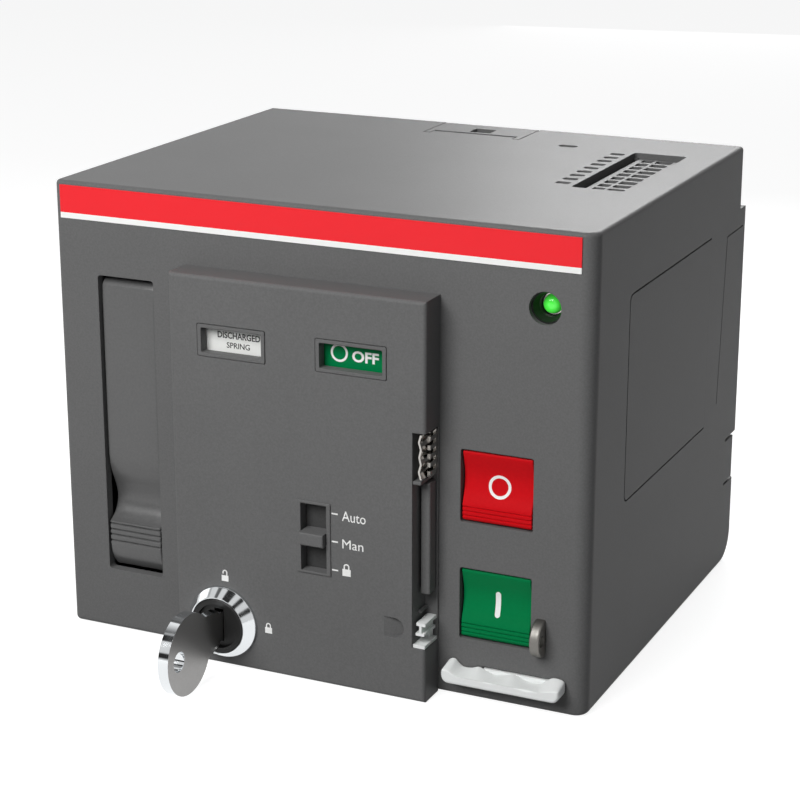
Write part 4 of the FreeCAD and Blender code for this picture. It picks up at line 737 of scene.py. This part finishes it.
def lettering(words, middle, size, face, weight=0.0):
    """Shells of generic words, (width, height) in size about a middle (x, z), on a plane y = face."""
    curve = bpy.data.curves.new(words, "FONT")
    curve.body, curve.extrude, curve.resolution_u, curve.offset = words, 0.5, 3, weight
    holder = new_object(words, curve)
    bpy.context.view_layer.update()
    data = bpy.data.meshes.new_from_object(holder.evaluated_get(bpy.context.evaluated_depsgraph_get()))
    bpy.data.objects.remove(holder)
    shape = bmesh.new()
    shape.from_mesh(data)
    bmesh.ops.remove_doubles(shape, verts=shape.verts, dist=1e-5)
    spots = np.array([v.co for v in shape.verts])
    faces = [[v.index for v in f.verts] for f in shape.faces]
    shape.free()
    low, high = spots.min(0), spots.max(0)
    spots = (spots - (low + high) / 2) / (high - low)
    x, z = middle[0] + spots[:, 0] * size[0], middle[1] + spots[:, 1] * size[1]
    return np.stack([x, face - THICK / 2 - spots[:, 2] * (THICK + SUNK), z], 1), faces


def on_face(face):
    """Front and back of a print on a plane y = face."""
    return face - THICK, face + SUNK


def ring_sign(radii, middle, face):
    """A printed ring between two radii, on a plane y = face."""
    return turned([(r, y) for y in on_face(face) for r in (radii if y < face else radii[::-1])], middle)


def padlock(middle, size, opened):
    """Outline of a padlock sign, (x, z): a body with a bow over it, swung to one side when it is open."""
    half, tall, ring, line = size * 0.35, size * 0.56, size * 0.25, size * 0.11
    x, low = middle[0], middle[1] - size / 2
    top = low + tall
    rise = size - tall - ring
    if opened:
        rise += 0.1 * size
    bow_out = corner((x, top + rise), ring, 0, 180, 16)
    bow_in = corner((x, top + rise), ring - line, 180, 0, 16)
    body = [(x - half, top), (x - half, low), (x + half, low), (x + half, top)]
    if opened:
        left_end = [(x - ring, top + 0.5 * rise), (x - ring + line, top + 0.5 * rise)]
        right_end = [(x + ring - line, top)]
        return [np.concatenate([body, [(x + ring, top)], bow_out, left_end, bow_in, right_end])]
    window = np.concatenate([bow_in, [(x + ring - line, top), (x - ring + line, top)]])
    return [np.concatenate([body, [(x + ring, top)], bow_out, [(x - ring, top)]]), window]


# ---------------------------------------------------------------- signs on the cover
DASH_X, DASH_Z = (8.7, 10.3), (44.2, 37.2, 30.0)
PADLOCKS = (((12.5, 30.5), 3.1, False), ((-20.5, 23.4), 2.7, True), ((-8.75, 11.8), 2.7, False))
signs = [plate([rectangle(DASH_X, (z - 0.18, z + 0.18))], "y", on_face(COVER)) for z in DASH_Z]
signs.append(lettering("Auto", (14.5, 44.0), (6.2, 2.5), COVER))
signs.append(lettering("Man", (14.2, 37.0), (5.5, 2.3), COVER))
signs += [plate(padlock(middle, size, opened), "y", on_face(COVER)) for middle, size, opened in PADLOCKS]
printed("cover_signs", signs, INK_WHITE, "housing")

# ---------------------------------------------------------------- window frames and painted shade in the slot
# Each window has a frame let into the cover, flush with it but for its rounded rims.
WINDOW_Z = (79.5, 85.6)
frames = []
for left, right in ((-25.35, -9.3), (5.9, 22.0)):
    edge = rectangle((left - 0.95, right + 0.95), (WINDOW_Z[0] - 0.85, WINDOW_Z[1] + 0.85), 0.4)
    window = rectangle((left, right), WINDOW_Z, 0.4)
    frames.append(plate([edge, window], "y", (COVER - 0.12, COVER + 0.33)))
piece("window_frames", frames, RAISED, "housing", rim=0.1)

# Painted shade in the slot: a dark sheet on the slide's back plate, where the plate shows in the slot, at
# every place of the knob. The plate itself is the knob's grey.
MODE_X, MODE_Z = middle_of("mode_slider", "xz")
half = 8.6 + travel_of("mode_select")
seen = rectangle((MODE_X - 3.9, MODE_X + 3.9), (MODE_Z - half, MODE_Z + half))
knob = rectangle((MODE_X - 3.25, MODE_X + 3.25), (MODE_Z - 1.65, MODE_Z + 1.65))
film = plate([seen, knob], "y", on_face(FLAG_FACE))
piece("slot_painted_shade", [film], SLOT_PAINTED_SHADE, "mode_slider")

# ---------------------------------------------------------------- signs on the flags and buttons
printed("state_sign", [ring_sign((1.65, 2.2), (9.7, 82.9), FLAG_FACE),
                       lettering("OFF", (16.4, 82.5), (6.8, 2.7), FLAG_FACE, 0.03)],
        INK_WHITE, "position_flag")
upper_half = (middle_of("position_flag", "z")[0], span_of("position_flag", "z")[1])
field = rectangle(span_of("position_flag", "x"), upper_half)
printed("closed_field", [plate([field], "y", on_face(FLAG_FACE))], FLAG_RED, "position_flag")
printed("closed_sign", [plate([rectangle((9.3, 10.1), (88.4, 92.8))], "y", on_face(FLAG_FACE - THICK)),
                        lettering("ON", (15.8, 90.5), (4.6, 2.7), FLAG_FACE - THICK, 0.03)],
        INK_WHITE, "position_flag")
printed("spring_sign", [lettering("DISCHARGED", (-16.7, 83.6), (11.4, 1.6), FLAG_FACE, 0.02),
                        lettering("SPRING", (-16.9, 81.2), (6.2, 1.4), FLAG_FACE, 0.01),
                        lettering("CHARGED", (-16.9, 76.0), (9.0, 1.75), FLAG_FACE, 0.03),
                        lettering("SPRING", (-16.9, 73.5), (6.0, 1.45), FLAG_FACE, 0.02)],
        INK_DARK, "spring_flag")


def on_dish(middle):
    """Moves a print made on the front plane into a button's dished face."""
    return lambda points: dish(middle + BUTTON_HALF - points[:, 2])


SIGN_X = 47.4
open_ring = ring_sign((2.1, 2.8), (SIGN_X, 53.5), FRONT)
printed("open_sign", [pushed(open_ring, "y", on_dish(OFF_MIDDLE))], INK_WHITE, "off_button")

# The bar has points all along its sides, so that it can follow the dish.
BAR_Z, BAR_HALF = 24.3, 0.65
rise = np.linspace(-2.4, 2.4, 17)[:, None]
bar = np.concatenate([np.hstack([0 * rise + SIGN_X + BAR_HALF, BAR_Z + rise]),
                      corner((SIGN_X, BAR_Z + 2.5), BAR_HALF, 10, 170, 9),
                      np.hstack([0 * rise + SIGN_X - BAR_HALF, BAR_Z - rise]),
                      corner((SIGN_X, BAR_Z - 2.5), BAR_HALF, 190, 350, 9)])
bar = plate([bar], "y", on_face(FRONT))
printed("close_sign", [pushed(bar, "y", on_dish(ON_MIDDLE))], INK_WHITE, "on_button")
